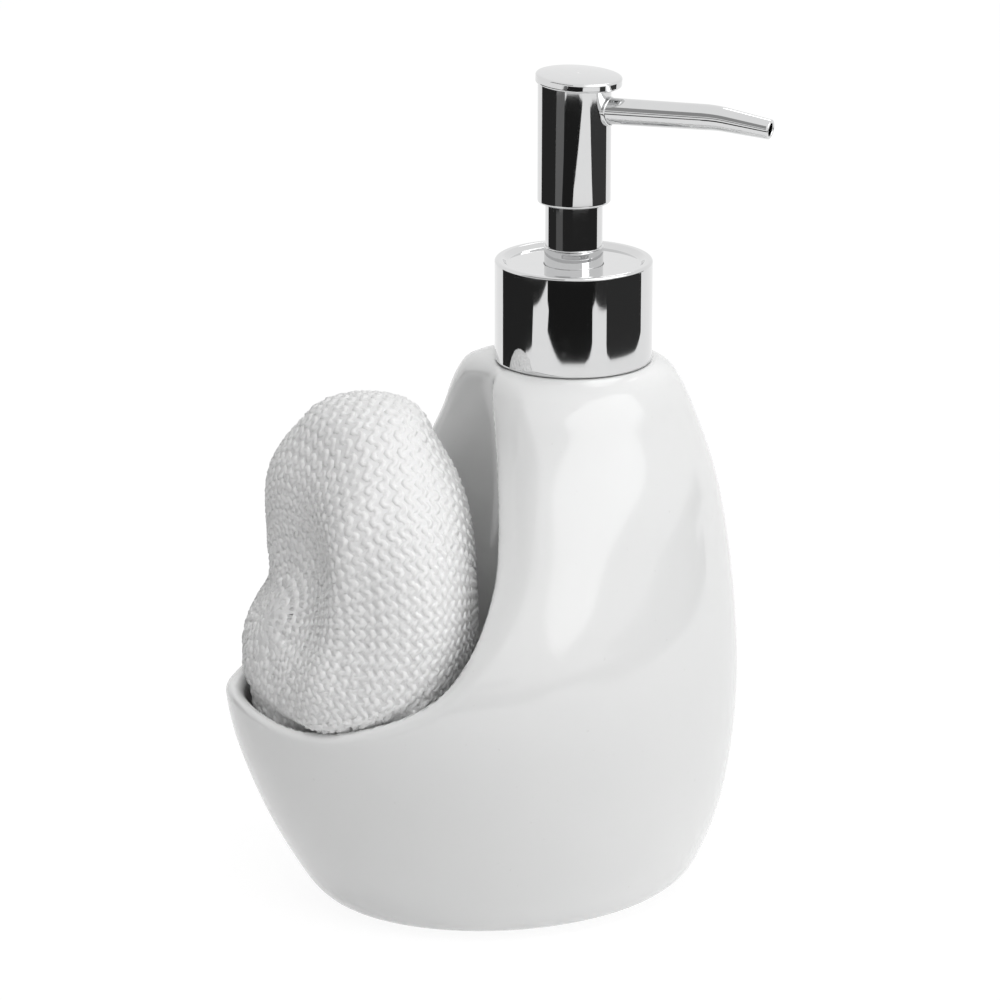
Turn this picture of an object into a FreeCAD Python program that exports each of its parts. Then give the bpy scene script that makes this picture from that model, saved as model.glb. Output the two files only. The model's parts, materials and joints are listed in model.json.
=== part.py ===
import FreeCAD, Part
import math
import os
import re
import Sketcher

# A free-standing soap pump caddy, in millimetres: an egg-shaped glazed ceramic bottle with an
# open pocket at its left, a knitted scrubber standing in the pocket, and a chromed lotion pump
# screwed on its neck. The origin is on the base plane, straight under the pump's axis.
# +Z is up, +X points away from the pocket and -Y is the front.

os.makedirs("parts", exist_ok=True)
Vector = FreeCAD.Vector
doc = FreeCAD.newDocument("soap_pump_caddy")
sheet = doc.addObject("Spreadsheet::Sheet", "Sizes")

SIZES = {
    # Ceramic body
    "body_height": 119.4,
    "belly_half_length": 57.0,
    "belly_half_depth": 46.7,
    "ceramic_wall": 4.0,
    "base_thickness": 5.5,
    "pocket_floor": 9.0,
    "pocket_back": 14.5,
    "rim_rounding": 2.2,
    "shoulder_thickness": 6.0,
    "mouth_radius": 12.6,
    # Threaded neck glued in the mouth
    "glue_gap": 0.1,
    "skirt_length": 7.0,
    "insert_flange_radius": 15.2,
    "insert_flange_thickness": 1.4,
    "neck_radius": 12.75,
    "neck_bore_radius": 10.9,
    "thread_pitch": 4.23,
    "thread_depth": 0.95,
    "thread_width": 1.7,
    "thread_bite": 0.3,
    "thread_lead_in": 3.5,
    "thread_turns": 1.5,
    "thread_clearance": 0.3,
    "gasket_thickness": 1.2,
    # Closure
    "collar_radius": 17.0,
    "collar_height": 22.0,
    "collar_gap": 0.25,
    "collar_wall": 0.9,
    "collar_rounding": 0.6,
    "dish_depth": 1.0,
    "dish_rim": 1.6,
    "cap_plate": 1.7,
    "turning_gap": 0.05,
    # Pump engine
    "housing_flange_thickness": 1.5,
    "housing_radius": 6.9,
    "housing_wall": 1.3,
    "housing_length": 35.0,
    "cage_radius": 3.6,
    "seat_radius": 1.6,
    "ball_radius": 2.4,
    "ball_lift": 1.6,
    "nipple_radius": 4.3,
    "nipple_length": 9.0,
    "tube_radius": 3.0,
    "tube_wall": 0.8,
    "tube_floor_gap": 3.0,
    "retainer_thickness": 2.0,
    "seal_height": 5.0,
    "seal_clearance": 0.05,
    "bushing_play": 0.08,
    "stem_radius": 3.6,
    "stem_bore": 2.0,
    "plug_flange_radius": 4.5,
    "plug_flange_thickness": 1.6,
    "plug_bore": 0.9,
    "plug_reach": 6.0,
    "spring_wire": 0.9,
    "spring_radius": 3.9,
    "spring_turns": 7.0,
    "spring_solid_length": 10.0,
    "stroke": 11.0,
    "guide_radius": 6.15,
    "guide_wall": 1.2,
    "guide_overlap": 5.2,
    "guide_base_radius": 8.6,
    "guide_boss_height": 1.7,
    "guide_boss_step": 0.2,
    # Head
    "head_clearance": 1.6,
    "barrel_radius": 7.85,
    "barrel_wall": 1.2,
    "barrel_length": 25.8,
    "barrel_rounding": 0.4,
    "disc_radius": 9.25,
    "disc_thickness": 2.3,
    "disc_crown": 0.4,
    "disc_shift": 0.9,
    "disc_tilt": 3.6,
    "disc_spigot_length": 1.5,
    "core_length": 7.0,
    "core_gap": 0.35,
    "sleeve_length": 6.0,
    "sleeve_wall": 0.9,
    "stem_grip": 2.0,
    "spout_azimuth": -42.0,
    "spout_drop": 5.55,
    "spout_seat": 4.0,
    "spout_play": 0.15,
    "channel_radius": 1.5,
    "spout_root_radius": 2.85,
    "spout_bend_radius": 2.75,
    "spout_tip_radius": 2.1,
    "spout_wall": 0.7,
    "spout_rise": 1.5,
    "spout_straight": 26.0,
    "spout_curve": 30.0,
    "spout_bend": 8.5,
    "spout_end": 9.9,
    "ferrule_radius": 3.15,
    "ferrule_length": 0.9,
    # Scrubber
    "pad_height": 105.5,
    "pad_width": 72.0,
    "pad_thickness": 46.0,
    "pad_offset": 46.5,
    "pad_gap": 0.6,
    "pad_clearance": 0.4,
    "pad_dimple": 7.0,
    "tie_radius": 2.4,
    "tie_wire": 1.6,
}

for row, (name, number) in enumerate(SIZES.items(), 1):
    sheet.set(f"A{row}", name)
    sheet.set(f"B{row}", str(number))
    sheet.setAlias(f"B{row}", name)
doc.recompute()
SHEET_WORDS = {name: "Sizes." + name for name in SIZES}


def use(text):
    """An expression on the sheet, from plain words such as 'body_height + collar_gap'."""
    return re.sub("[a-z_]+", lambda word: SHEET_WORDS.get(word[0], word[0]), text)


def value(text):
    """The number that such an expression gives."""
    return float(sheet.evalExpression(use(text)))


# Heights along the pump's axis, from the landing of the ceramic upwards
COLLAR_BOTTOM = "( body_height + collar_gap )"
COLLAR_TOP = f"( {COLLAR_BOTTOM} + collar_height )"
DISH_FLOOR = f"( {COLLAR_TOP} - dish_depth )"
CAP_TOP = f"( {DISH_FLOOR} - collar_wall )"
CAP_UNDER = f"( {CAP_TOP} - cap_plate )"
FLANGE_TOP = f"( {CAP_UNDER} - turning_gap )"
FLANGE_UNDER = f"( {FLANGE_TOP} - housing_flange_thickness )"
GASKET_UNDER = f"( {FLANGE_UNDER} - gasket_thickness )"
INSERT_FLANGE_TOP = "( body_height + insert_flange_thickness )"

# Heights inside the pump, from the floor of its cylinder
CYLINDER_FLOOR = f"( {FLANGE_TOP} - housing_length )"
BALL_CENTRE = f"( {CYLINDER_FLOOR} - ball_lift - seal_clearance - ball_radius )"
SEAT_TOP = f"( {BALL_CENTRE} + seat_radius - ball_radius * sqrt(2) - seal_clearance )"
CAGE_FLOOR = f"( {SEAT_TOP} + cage_radius - seat_radius )"
SOCKET_TOP = f"( {SEAT_TOP} - housing_wall )"
NIPPLE_END = f"( {SOCKET_TOP} - nipple_length )"
SPRING_SEAT = f"( {CYLINDER_FLOOR} + retainer_thickness )"
SPRING_LENGTH = "( spring_solid_length + stroke )"
PLUG_UNDER = f"( {SPRING_SEAT} + {SPRING_LENGTH} )"
SEAL_UNDER = f"( {PLUG_UNDER} + plug_flange_thickness + turning_gap )"
SEAL_TOP = f"( {SEAL_UNDER} + seal_height )"
STEM_BOTTOM = f"( {SEAL_TOP} + turning_gap )"
BUSHING_UNDER = f"( {SEAL_TOP} + thread_clearance )"

# Heights in the head
HEAD_BOTTOM = f"( {COLLAR_TOP} + stroke + head_clearance )"
GUIDE_TOP = f"( {HEAD_BOTTOM} + guide_overlap )"
BARREL_TOP = f"( {HEAD_BOTTOM} + barrel_length )"
CORE_TOP = f"( {BARREL_TOP} - disc_spigot_length - core_gap - barrel_radius * tan(disc_tilt) )"
CORE_UNDER = f"( {CORE_TOP} - core_length )"
STEM_TOP = f"( {CORE_UNDER} + stem_grip )"
SPOUT_HEIGHT = f"( {BARREL_TOP} - spout_drop )"

# Radii shared by pieces that fit each other
CAP_RADIUS = "( collar_radius - collar_wall )"
CAP_BORE = "( neck_radius + thread_depth + thread_clearance )"
CYLINDER_RADIUS = "( housing_radius - housing_wall )"
GUIDE_BORE = "( guide_radius - guide_wall )"
BOSS_RADIUS = "( guide_radius + guide_boss_step )"
BARREL_BORE = "( barrel_radius - barrel_wall )"


def bind(target, name, text):
    """Ties a property of an object to an expression on the sheet."""
    target.setExpression(name, use(text))


def own_plane(body, role):
    """One of the origin planes of a body."""
    return next(f for f in body.Origin.OriginFeatures if f.Role == role)


def new_sketch(body, name, role):
    """An empty sketch on a plane of its own body."""
    sketch = body.newObject("Sketcher::SketchObject", name)
    sketch.AttachmentSupport = [(own_plane(body, role), "")]
    sketch.MapMode = "FlatFace"
    return sketch


def turned(label, outline):
    """A piece turned about the pump's axis from a closed outline of radius and height."""
    body = doc.addObject("PartDesign::Body", label)
    sketch = new_sketch(body, label + "_outline", "XZ_Plane")
    corners = [Vector(value(radius), value(height), 0) for radius, height in outline]
    count = len(corners)
    for i in range(count):
        sketch.addGeometry(Part.LineSegment(corners[i], corners[(i + 1) % count]))
    for i in range(count):
        sketch.addConstraint(Sketcher.Constraint("Coincident", i, 2, (i + 1) % count, 1))
    for i, (radius, height) in enumerate(outline):
        if radius == "0":
            sketch.addConstraint(Sketcher.Constraint("PointOnObject", i, 1, -2))
        else:
            across = Sketcher.Constraint("DistanceX", -1, 1, i, 1, corners[i].x)
            bind(sketch, f"Constraints[{sketch.addConstraint(across)}]", radius)
        up = Sketcher.Constraint("DistanceY", -1, 1, i, 1, corners[i].y)
        bind(sketch, f"Constraints[{sketch.addConstraint(up)}]", height)
    turning = body.newObject("PartDesign::Revolution", label + "_turning")
    turning.Profile = sketch
    turning.ReferenceAxis = (sketch, ["V_Axis"])
    turning.Angle = 360
    return body


def ring(label, inner, outer, low, high):
    """A plain turned ring or tube."""
    return turned(label, [(inner, low), (outer, low), (outer, high), (inner, high)])


def thread(label, root, crest, middle):
    """One helical ridge: root and crest radii, and the height at which its middle starts."""
    helix = doc.addObject("Part::Helix", label + "_helix")
    bind(helix, "Pitch", "thread_pitch")
    bind(helix, "Height", "thread_pitch * thread_turns")
    bind(helix, "Radius", "neck_radius")
    bind(helix, "Placement.Base.z", middle)
    half = value("thread_width") / 2
    base = value(middle)
    corners = [
        Vector(value(root), 0, base - half),
        Vector(value(crest), 0, base - half / 2),
        Vector(value(crest), 0, base + half / 2),
        Vector(value(root), 0, base + half),
    ]
    profile = doc.addObject("Part::Feature", label + "_profile")
    profile.Shape = Part.makePolygon(corners + corners[:1])
    ridge = doc.addObject("Part::Sweep", label)
    ridge.Sections = [profile]
    ridge.Spine = helix
    ridge.Solid = True
    ridge.Frenet = True
    return ridge


def joined(label, base, tool):
    """Two solids made one."""
    fuse = doc.addObject("Part::Fuse", label)
    fuse.Base = base
    fuse.Tool = tool
    return fuse


def cut(label, base, tool):
    """One solid less another."""
    result = doc.addObject("Part::Cut", label)
    result.Base = base
    result.Tool = tool
    return result


def bar(label, radius, start, length, height):
    """A round bar along +X, at a height on the pump's axis."""
    rod = doc.addObject("Part::Cylinder", label)
    rod.Placement.Rotation = FreeCAD.Rotation(Vector(0, 1, 0), 90)
    bind(rod, "Radius", radius)
    bind(rod, "Height", length)
    bind(rod, "Placement.Base.x", start)
    bind(rod, "Placement.Base.z", height)
    return rod


# Ceramic body: slip-cast, so its outside is a stack of ovals from the foot to the round landing
# under the collar. Each row holds shares of body_height, belly_half_length (to the right and to
# the left of the pump's axis) and belly_half_depth.
body_section_shares = [
    (0.0, 0.343, 0.935, 0.640),
    (0.021, 0.426, 1.000, 0.720),
    (0.067, 0.509, 1.081, 0.795),
    (0.152, 0.575, 1.182, 0.880),
    (0.270, 0.621, 1.289, 0.955),
    (0.404, 0.638, 1.361, 1.000),
    (0.539, 0.626, 1.319, 0.972),
    (0.673, 0.595, 1.114, 0.857),
    (0.800, 0.540, 0.851, 0.724),
    (0.909, 0.460, 0.637, 0.589),
    (0.981, 0.382, 0.482, 0.486),
    (1.0, 0.351, 0.430, 0.441),
]
# How the pocket's floor rounds up into its walls: share of body_height above the floor, and
# share of the full inside section.
pocket_round_shares = [
    (0.0, 0.55),
    (0.013, 0.74),
    (0.046, 0.90),
    (0.109, 0.985),
    (0.194, 1.0),
    (0.330, 1.0),
    (0.465, 1.0),
    (0.600, 1.0),
    (0.725, 1.0),
    (0.834, 1.0),
    (0.960, 1.0),
]
# The concave back of the pocket, as half ovals in an arch under the collar: shares of
# body_height, of pocket_back (its deepest point), of belly_half_length (from there to the
# middle of the half oval) and of belly_half_depth.
pocket_back_shares = [
    (0.042, 2.62, 0.211, 0.878),
    (0.075, 2.48, 0.246, 0.878),
    (0.101, 2.07, 0.333, 0.878),
    (0.151, 1.69, 0.412, 0.878),
    (0.209, 1.41, 0.465, 0.878),
    (0.293, 1.17, 0.509, 0.878),
    (0.419, 1.03, 0.526, 0.878),
    (0.536, 1.00, 0.535, 0.852),
    (0.603, 0.99, 0.502, 0.792),
    (0.670, 1.00, 0.456, 0.707),
    (0.737, 1.03, 0.386, 0.595),
    (0.812, 1.08, 0.321, 0.460),
    (0.905, 1.21, 0.235, 0.289),
    (0.955, 1.32, 0.189, 0.214),
    (1.005, 1.44, 0.142, 0.161),
    (1.055, 1.55, 0.114, 0.128),
]
# The rim seen from the front, from past the lip at the far left up to the arch under the
# collar: share of the way out from the arch to past the lip, and share of body_height.
rim_arch_share, rim_lip_share = 1.44, 1.58
rim_profile_shares = [
    (1.0, 0.503),
    (0.884, 0.454),
    (0.826, 0.432),
    (0.768, 0.418),
    (0.696, 0.413),
    (0.595, 0.427),
    (0.479, 0.453),
    (0.378, 0.482),
    (0.291, 0.520),
    (0.226, 0.564),
    (0.175, 0.613),
    (0.132, 0.675),
    (0.097, 0.741),
    (0.068, 0.817),
    (0.049, 0.871),
    (0.031, 0.930),
    (0.013, 0.980),
    (0.0, 1.039),
]

body_height = value("body_height")
half_length = value("belly_half_length")
half_depth = value("belly_half_depth")
wall = value("ceramic_wall")
far_left = 2 * half_length


def oval_arc(middle, across, deep, height, first, last):
    """A smooth arc of an oval, between two angles."""
    count = 9
    angles = [first + (last - first) * i / (count - 1) for i in range(count)]
    points = [Vector(middle + across * math.cos(a), deep * math.sin(a), height) for a in angles]
    ends = [Vector(-across * math.sin(a), deep * math.cos(a), 0) for a in (first, last)]
    curve = Part.BSplineCurve()
    curve.interpolate(Points=points, InitialTangent=ends[0], FinalTangent=ends[1])
    return curve.toShape()


def oval(middle, across, deep, height, start):
    """A closed oval of four arcs, each under a half circle."""
    quarter = math.pi / 2
    turns = [start + quarter * i for i in range(4)]
    return Part.Wire([oval_arc(middle, across, deep, height, t, t + quarter) for t in turns])


def body_section(share):
    """Right extent, left extent and half depth of the outside at a share of body_height."""
    rows = body_section_shares
    upper = next((i for i, row in enumerate(rows) if row[0] >= share), len(rows) - 1)
    upper = max(upper, 1)
    low, high = rows[upper - 1], rows[upper]
    part = min(max((share - low[0]) / (high[0] - low[0]), 0.0), 1.0)
    right, left, deep = (a + (b - a) * part for a, b in zip(low[1:], high[1:]))
    return right * half_length, -left * half_length, deep * half_depth


def outside_oval(share, inset, size_share, height, start):
    """The outside's oval at a share of body_height, taken in by a wall and scaled."""
    right, left, deep = body_section(share)
    across = (right - left) / 2 - inset
    return oval((right + left) / 2, across * size_share, (deep - inset) * size_share, height, start)


def outside_loft(start):
    rows = body_section_shares
    wires = [outside_oval(row[0], 0, 1, row[0] * body_height, start) for row in rows]
    return Part.makeLoft(wires, True, False)


def inside_loft(floor, inset, start):
    """The space inside walls of a thickness above a floor, rounded at the floor."""
    wires = []
    for rise, size_share in pocket_round_shares:
        height = floor + rise * body_height
        wires.append(outside_oval(height / body_height, inset, size_share, height, start))
    return Part.makeLoft(wires, True, False)


def back_loft(grow):
    """Everything to the left of the pocket's concave back, grown by a wall."""
    wires = []
    for height_share, back_share, across_share, deep_share in pocket_back_shares:
        height = height_share * body_height
        across = across_share * half_length + grow
        middle = -back_share * value("pocket_back") - across_share * half_length
        deep = deep_share * half_depth + grow
        arcs = [
            oval_arc(middle, across, deep, height, -math.pi / 2, 0),
            oval_arc(middle, across, deep, height, 0, math.pi / 2),
        ]
        corners = [
            Vector(middle, deep, height),
            Vector(-far_left, deep, height),
            Vector(-far_left, -deep, height),
            Vector(middle, -deep, height),
        ]
        sides = [Part.makeLine(corners[i], corners[i + 1]) for i in range(3)]
        wires.append(Part.Wire(arcs + sides))
    return Part.makeLoft(wires, True, False)


def rim_block():
    """What the rim leaves open: the space above its outline, all through the body."""
    depth = 3 * half_depth
    near, far = rim_arch_share * value("pocket_back"), rim_lip_share * half_length
    points = [
        Vector(-near - (far - near) * out, 0, rise * body_height) for out, rise in rim_profile_shares
    ]
    curve = Part.BSplineCurve()
    curve.interpolate(points)
    corner = Vector(points[0].x, 0, points[-1].z)
    edges = [curve.toShape(), Part.makeLine(points[-1], corner), Part.makeLine(corner, points[0])]
    face = Part.Face(Part.Wire(edges))
    face.translate(Vector(0, -depth / 2, 0))
    return face.extrude(Vector(0, depth, 0))


touch_share = 0.0005


def lies_on(edge, faces):
    """True where three points of an edge lie on one of the faces."""
    first, last = edge.ParameterRange
    points = [edge.valueAt(first + (last - first) * part) for part in (0.2, 0.5, 0.8)]
    return all(
        min(face.distToShape(Part.Vertex(point))[0] for face in faces) < touch_share * wall
        for point in points
    )


def curved(shape):
    """The faces of a shape that aren't flat."""
    return [face for face in shape.Faces if face.Surface.TypeId != "Part::GeomPlane"]


outside = outside_loft(math.pi / 4)
pocket = inside_loft(value("pocket_floor"), wall, math.pi / 4 + 0.2).common(back_loft(0))
rim = rim_block()
blank = outside.cut(rim)
rim_edges = [e for e in blank.Edges if lies_on(e, curved(rim)) and lies_on(e, curved(outside))]
rounding_limit_share = 0.55
blank = blank.makeFillet(min(value("rim_rounding"), rounding_limit_share * wall), rim_edges)
blank = blank.cut(pocket)
chamber = inside_loft(value("base_thickness"), wall, math.pi / 4 + 0.4)
below_shoulder = Part.makeBox(
    2 * far_left,
    4 * half_depth,
    body_height - value("shoulder_thickness"),
    Vector(-far_left, -2 * half_depth, 0),
)
pillar_room = rim.translated(Vector(wall, 0, 0))
chamber = chamber.common(below_shoulder).cut(back_loft(wall)).cut(pillar_room)
chamber = max(chamber.Solids, key=lambda solid: solid.Volume)
mouth_depth = 1.5 * value("shoulder_thickness")
mouth = Part.makeCylinder(
    value("mouth_radius"), 2 * mouth_depth, Vector(0, 0, body_height - mouth_depth)
)
ceramic_body = doc.addObject("Part::Feature", "ceramic_body")
ceramic_body.Shape = blank.cut(chamber).cut(mouth)

# Neck insert: a moulded ring glued in the ceramic mouth, with the thread that the ceramic
# itself can't hold to size.
insert_turning = turned("neck_insert_turning", [
    ("neck_bore_radius", "body_height - skirt_length"),
    ("mouth_radius - glue_gap", "body_height - skirt_length"),
    ("mouth_radius - glue_gap", "body_height"),
    ("insert_flange_radius", "body_height"),
    ("insert_flange_radius", INSERT_FLANGE_TOP),
    ("neck_radius", INSERT_FLANGE_TOP),
    ("neck_radius", GASKET_UNDER),
    ("neck_bore_radius", GASKET_UNDER),
])
insert_thread = thread(
    "neck_thread",
    "neck_radius - thread_bite",
    "neck_radius + thread_depth",
    f"{INSERT_FLANGE_TOP} + thread_lead_in",
)
neck_insert = joined("neck_insert", insert_turning, insert_thread)
neck_gasket = ring("neck_gasket", "neck_bore_radius", "neck_radius", GASKET_UNDER, FLANGE_UNDER)

# Closure: a threaded inner cap pressed in a chromed shell, whose top is slightly dished
cap_turning = turned("inner_cap_turning", [
    (CAP_BORE, f"{INSERT_FLANGE_TOP} + thread_clearance"),
    (CAP_RADIUS, f"{INSERT_FLANGE_TOP} + thread_clearance"),
    (CAP_RADIUS, CAP_TOP),
    ("guide_base_radius + thread_clearance", CAP_TOP),
    ("guide_base_radius + thread_clearance", CAP_UNDER),
    (CAP_BORE, CAP_UNDER),
])
cap_thread = thread(
    "cap_thread",
    f"{CAP_BORE} + thread_bite",
    "neck_radius + thread_clearance",
    f"{INSERT_FLANGE_TOP} + thread_lead_in - thread_pitch / 2",
)
inner_cap = joined("inner_cap", cap_turning, cap_thread)
collar_shell = turned("collar_shell", [
    (CAP_RADIUS, COLLAR_BOTTOM),
    ("collar_radius", COLLAR_BOTTOM),
    ("collar_radius", f"{COLLAR_TOP} - collar_rounding"),
    ("collar_radius - collar_rounding", COLLAR_TOP),
    ("collar_radius - dish_rim", COLLAR_TOP),
    ("collar_radius - dish_rim - dish_depth", DISH_FLOOR),
    (f"{BOSS_RADIUS} + thread_clearance", DISH_FLOOR),
    (f"{BOSS_RADIUS} + thread_clearance", CAP_TOP),
    (CAP_RADIUS, CAP_TOP),
])

# Guide tube: the fixed chromed tube on the pump that the head's barrel slides over
guide_tube = turned("guide_tube", [
    (GUIDE_BORE, FLANGE_TOP),
    ("guide_base_radius", FLANGE_TOP),
    ("guide_base_radius", f"{CAP_TOP} - turning_gap"),
    (BOSS_RADIUS, f"{CAP_TOP} - turning_gap"),
    (BOSS_RADIUS, f"{COLLAR_TOP} + guide_boss_height"),
    ("guide_radius", f"{COLLAR_TOP} + guide_boss_height"),
    ("guide_radius", GUIDE_TOP),
    (GUIDE_BORE, GUIDE_TOP),
])

# Pump housing: the moulded cylinder that hangs in the neck, with the ball seat and the socket
# for the dip tube under it
pump_housing = turned("pump_housing", [
    (CYLINDER_RADIUS, FLANGE_TOP),
    ("neck_radius", FLANGE_TOP),
    ("neck_radius", FLANGE_UNDER),
    ("housing_radius", FLANGE_UNDER),
    ("housing_radius", f"{CYLINDER_FLOOR} - housing_wall"),
    ("cage_radius + housing_wall", f"{CYLINDER_FLOOR} - housing_wall"),
    ("cage_radius + housing_wall", SOCKET_TOP),
    ("nipple_radius", SOCKET_TOP),
    ("nipple_radius", NIPPLE_END),
    ("tube_radius", NIPPLE_END),
    ("tube_radius", SOCKET_TOP),
    ("seat_radius", SOCKET_TOP),
    ("seat_radius", SEAT_TOP),
    ("cage_radius", CAGE_FLOOR),
    ("cage_radius", CYLINDER_FLOOR),
    (CYLINDER_RADIUS, CYLINDER_FLOOR),
])
stem_bushing = ring(
    "stem_bushing", "stem_radius + bushing_play", CYLINDER_RADIUS, BUSHING_UNDER, FLANGE_TOP
)
dip_tube = ring(
    "dip_tube",
    "tube_radius - tube_wall",
    "tube_radius",
    "base_thickness + tube_floor_gap",
    SOCKET_TOP,
)

# Ball and its retainer: the inlet valve at the bottom of the cylinder
inlet_ball = doc.addObject("Part::Sphere", "inlet_ball")
bind(inlet_ball, "Radius", "ball_radius")
bind(inlet_ball, "Placement.Base.z", BALL_CENTRE)

ball_retainer = doc.addObject("PartDesign::Body", "ball_retainer")
retainer_sketch = new_sketch(ball_retainer, "retainer_outline", "XY_Plane")
retainer_sketch.addGeometry(Part.Circle(Vector(), Vector(0, 0, 1), value(CYLINDER_RADIUS)))
retainer_sketch.addConstraint(Sketcher.Constraint("Coincident", 0, 3, -1, 1))
retainer_size = retainer_sketch.addConstraint(
    Sketcher.Constraint("Radius", 0, value(CYLINDER_RADIUS))
)
bind(retainer_sketch, f"Constraints[{retainer_size}]", CYLINDER_RADIUS)
retainer_plate = ball_retainer.newObject("PartDesign::Pad", "retainer_plate")
retainer_plate.Profile = retainer_sketch
bind(retainer_plate, "Length", "retainer_thickness")
doc.recompute()
hole_sketch = new_sketch(ball_retainer, "retainer_hole", "XY_Plane")
hole_place = f"{CYLINDER_RADIUS} / 2"
hole_radius = f"{CYLINDER_RADIUS} / 4"
hole_centre = Vector(value(hole_place), 0, 0)
hole_sketch.addGeometry(Part.Circle(hole_centre, Vector(0, 0, 1), value(hole_radius)))
hole_sketch.addConstraint(Sketcher.Constraint("PointOnObject", 0, 3, -1))
for kind, text in (("DistanceX", hole_place), ("Radius", hole_radius)):
    ends = (-1, 1, 0, 3) if kind == "DistanceX" else (0,)
    constraint = Sketcher.Constraint(kind, *ends, value(text))
    bind(hole_sketch, f"Constraints[{hole_sketch.addConstraint(constraint)}]", text)
retainer_port = ball_retainer.newObject("PartDesign::Pocket", "retainer_port")
retainer_port.Profile = hole_sketch
retainer_port.Type = "ThroughAll"
retainer_port.Reversed = True
retainer_ports = ball_retainer.newObject("PartDesign::PolarPattern", "retainer_ports")
retainer_ports.Originals = [retainer_port]
retainer_ports.Axis = (hole_sketch, ["N_Axis"])
retainer_ports.Angle = 360
retainer_ports.Occurrences = 4
ball_retainer.Tip = retainer_ports
bind(ball_retainer, "Placement.Base.z", CYLINDER_FLOOR)

# Return spring: one unbroken coil of steel wire between the retainer and the piston's plug
spring_helix = doc.addObject("Part::Helix", "spring_helix")
spring_rise = f"{SPRING_LENGTH} - spring_wire - 2 * turning_gap"
bind(spring_helix, "Pitch", f"( {spring_rise} ) / spring_turns")
bind(spring_helix, "Height", spring_rise)
bind(spring_helix, "Radius", "spring_radius")
spring_section = doc.addObject("Part::Circle", "spring_section")
bind(spring_section, "Radius", "spring_wire / 2")
bind(spring_section, "Placement.Base.x", "spring_radius")
spring_section.Placement.Rotation = FreeCAD.Rotation(Vector(1, 0, 0), 90)
return_spring = doc.addObject("Part::Sweep", "return_spring")
return_spring.Sections = [spring_section]
return_spring.Spine = spring_helix
return_spring.Solid = True
return_spring.Frenet = True
bind(return_spring, "Placement.Base.z", f"{SPRING_SEAT} + spring_wire / 2 + turning_gap")
spring_gap = value(f"( {spring_rise} ) / spring_turns - spring_wire")
print(f"least gap between the spring's coils {spring_gap:.2f}")

# Piston: a lipped seal held between the stem and its plug
lip = "seal_height / 5"
piston_seal = turned("piston_seal", [
    ("stem_bore + seal_clearance", SEAL_UNDER),
    (f"{CYLINDER_RADIUS} - seal_clearance", SEAL_UNDER),
    (f"{CYLINDER_RADIUS} - seal_clearance", f"{SEAL_UNDER} + {lip}"),
    (f"{CYLINDER_RADIUS} - housing_wall / 2", f"{SEAL_UNDER} + 2 * {lip}"),
    (f"{CYLINDER_RADIUS} - housing_wall / 2", f"{SEAL_TOP} - 2 * {lip}"),
    (f"{CYLINDER_RADIUS} - seal_clearance", f"{SEAL_TOP} - {lip}"),
    (f"{CYLINDER_RADIUS} - seal_clearance", SEAL_TOP),
    ("stem_bore + seal_clearance", SEAL_TOP),
])
piston_plug = turned("piston_plug", [
    ("plug_bore", PLUG_UNDER),
    ("plug_flange_radius", PLUG_UNDER),
    ("plug_flange_radius", f"{PLUG_UNDER} + plug_flange_thickness"),
    ("stem_bore", f"{PLUG_UNDER} + plug_flange_thickness"),
    ("stem_bore", f"{STEM_BOTTOM} + plug_reach"),
    ("plug_bore", f"{STEM_BOTTOM} + plug_reach"),
])
stem = ring("stem", "stem_bore", "stem_radius", STEM_BOTTOM, STEM_TOP)

# Head, made with its spout along +X and then turned to the spout's direction. The core is the
# moulded hub that the stem and the spout are pressed in.
core_turning = turned("core_turning", [
    ("stem_radius", f"{CORE_UNDER} - sleeve_length"),
    ("stem_radius + sleeve_wall", f"{CORE_UNDER} - sleeve_length"),
    ("stem_radius + sleeve_wall", CORE_UNDER),
    (BARREL_BORE, CORE_UNDER),
    (BARREL_BORE, CORE_TOP),
    ("0", CORE_TOP),
    ("0", f"{SPOUT_HEIGHT} + stem_bore"),
    ("stem_bore", f"{SPOUT_HEIGHT} + stem_bore"),
    ("stem_bore", STEM_TOP),
    ("stem_radius", STEM_TOP),
])
core_socket = bar(
    "core_socket",
    "spout_root_radius + spout_play",
    "spout_seat - turning_gap",
    "barrel_radius",
    SPOUT_HEIGHT,
)
core_channel = bar("core_channel", "channel_radius", "0 * spout_seat", "barrel_radius", SPOUT_HEIGHT)
head_core = cut("head_core", core_turning, joined("core_bores", core_socket, core_channel))

# Barrel: the chromed sleeve over the core and the guide tube, cut aslant at the top
barrel_turning = turned("barrel_turning", [
    (BARREL_BORE, HEAD_BOTTOM),
    ("barrel_radius - barrel_rounding", HEAD_BOTTOM),
    ("barrel_radius", f"{HEAD_BOTTOM} + barrel_rounding"),
    ("barrel_radius", f"{BARREL_TOP} + disc_thickness"),
    (BARREL_BORE, f"{BARREL_TOP} + disc_thickness"),
])
slant = doc.addObject("Part::Box", "barrel_slant")
bind(slant, "Length", "4 * barrel_radius")
bind(slant, "Width", "4 * barrel_radius")
bind(slant, "Height", "barrel_radius")
lean = FreeCAD.Rotation(Vector(0, 1, 0), value("disc_tilt"))
corner = Vector(-2 * value("barrel_radius"), -2 * value("barrel_radius"), 0)
slant.Placement = FreeCAD.Placement(Vector(0, 0, value(BARREL_TOP)) + lean.multVec(corner), lean)
spout_hole = bar(
    "spout_hole", "spout_root_radius + spout_play", "spout_seat", "barrel_radius", SPOUT_HEIGHT
)
head_barrel = cut("head_barrel", barrel_turning, joined("barrel_cuts", slant, spout_hole))

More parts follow.
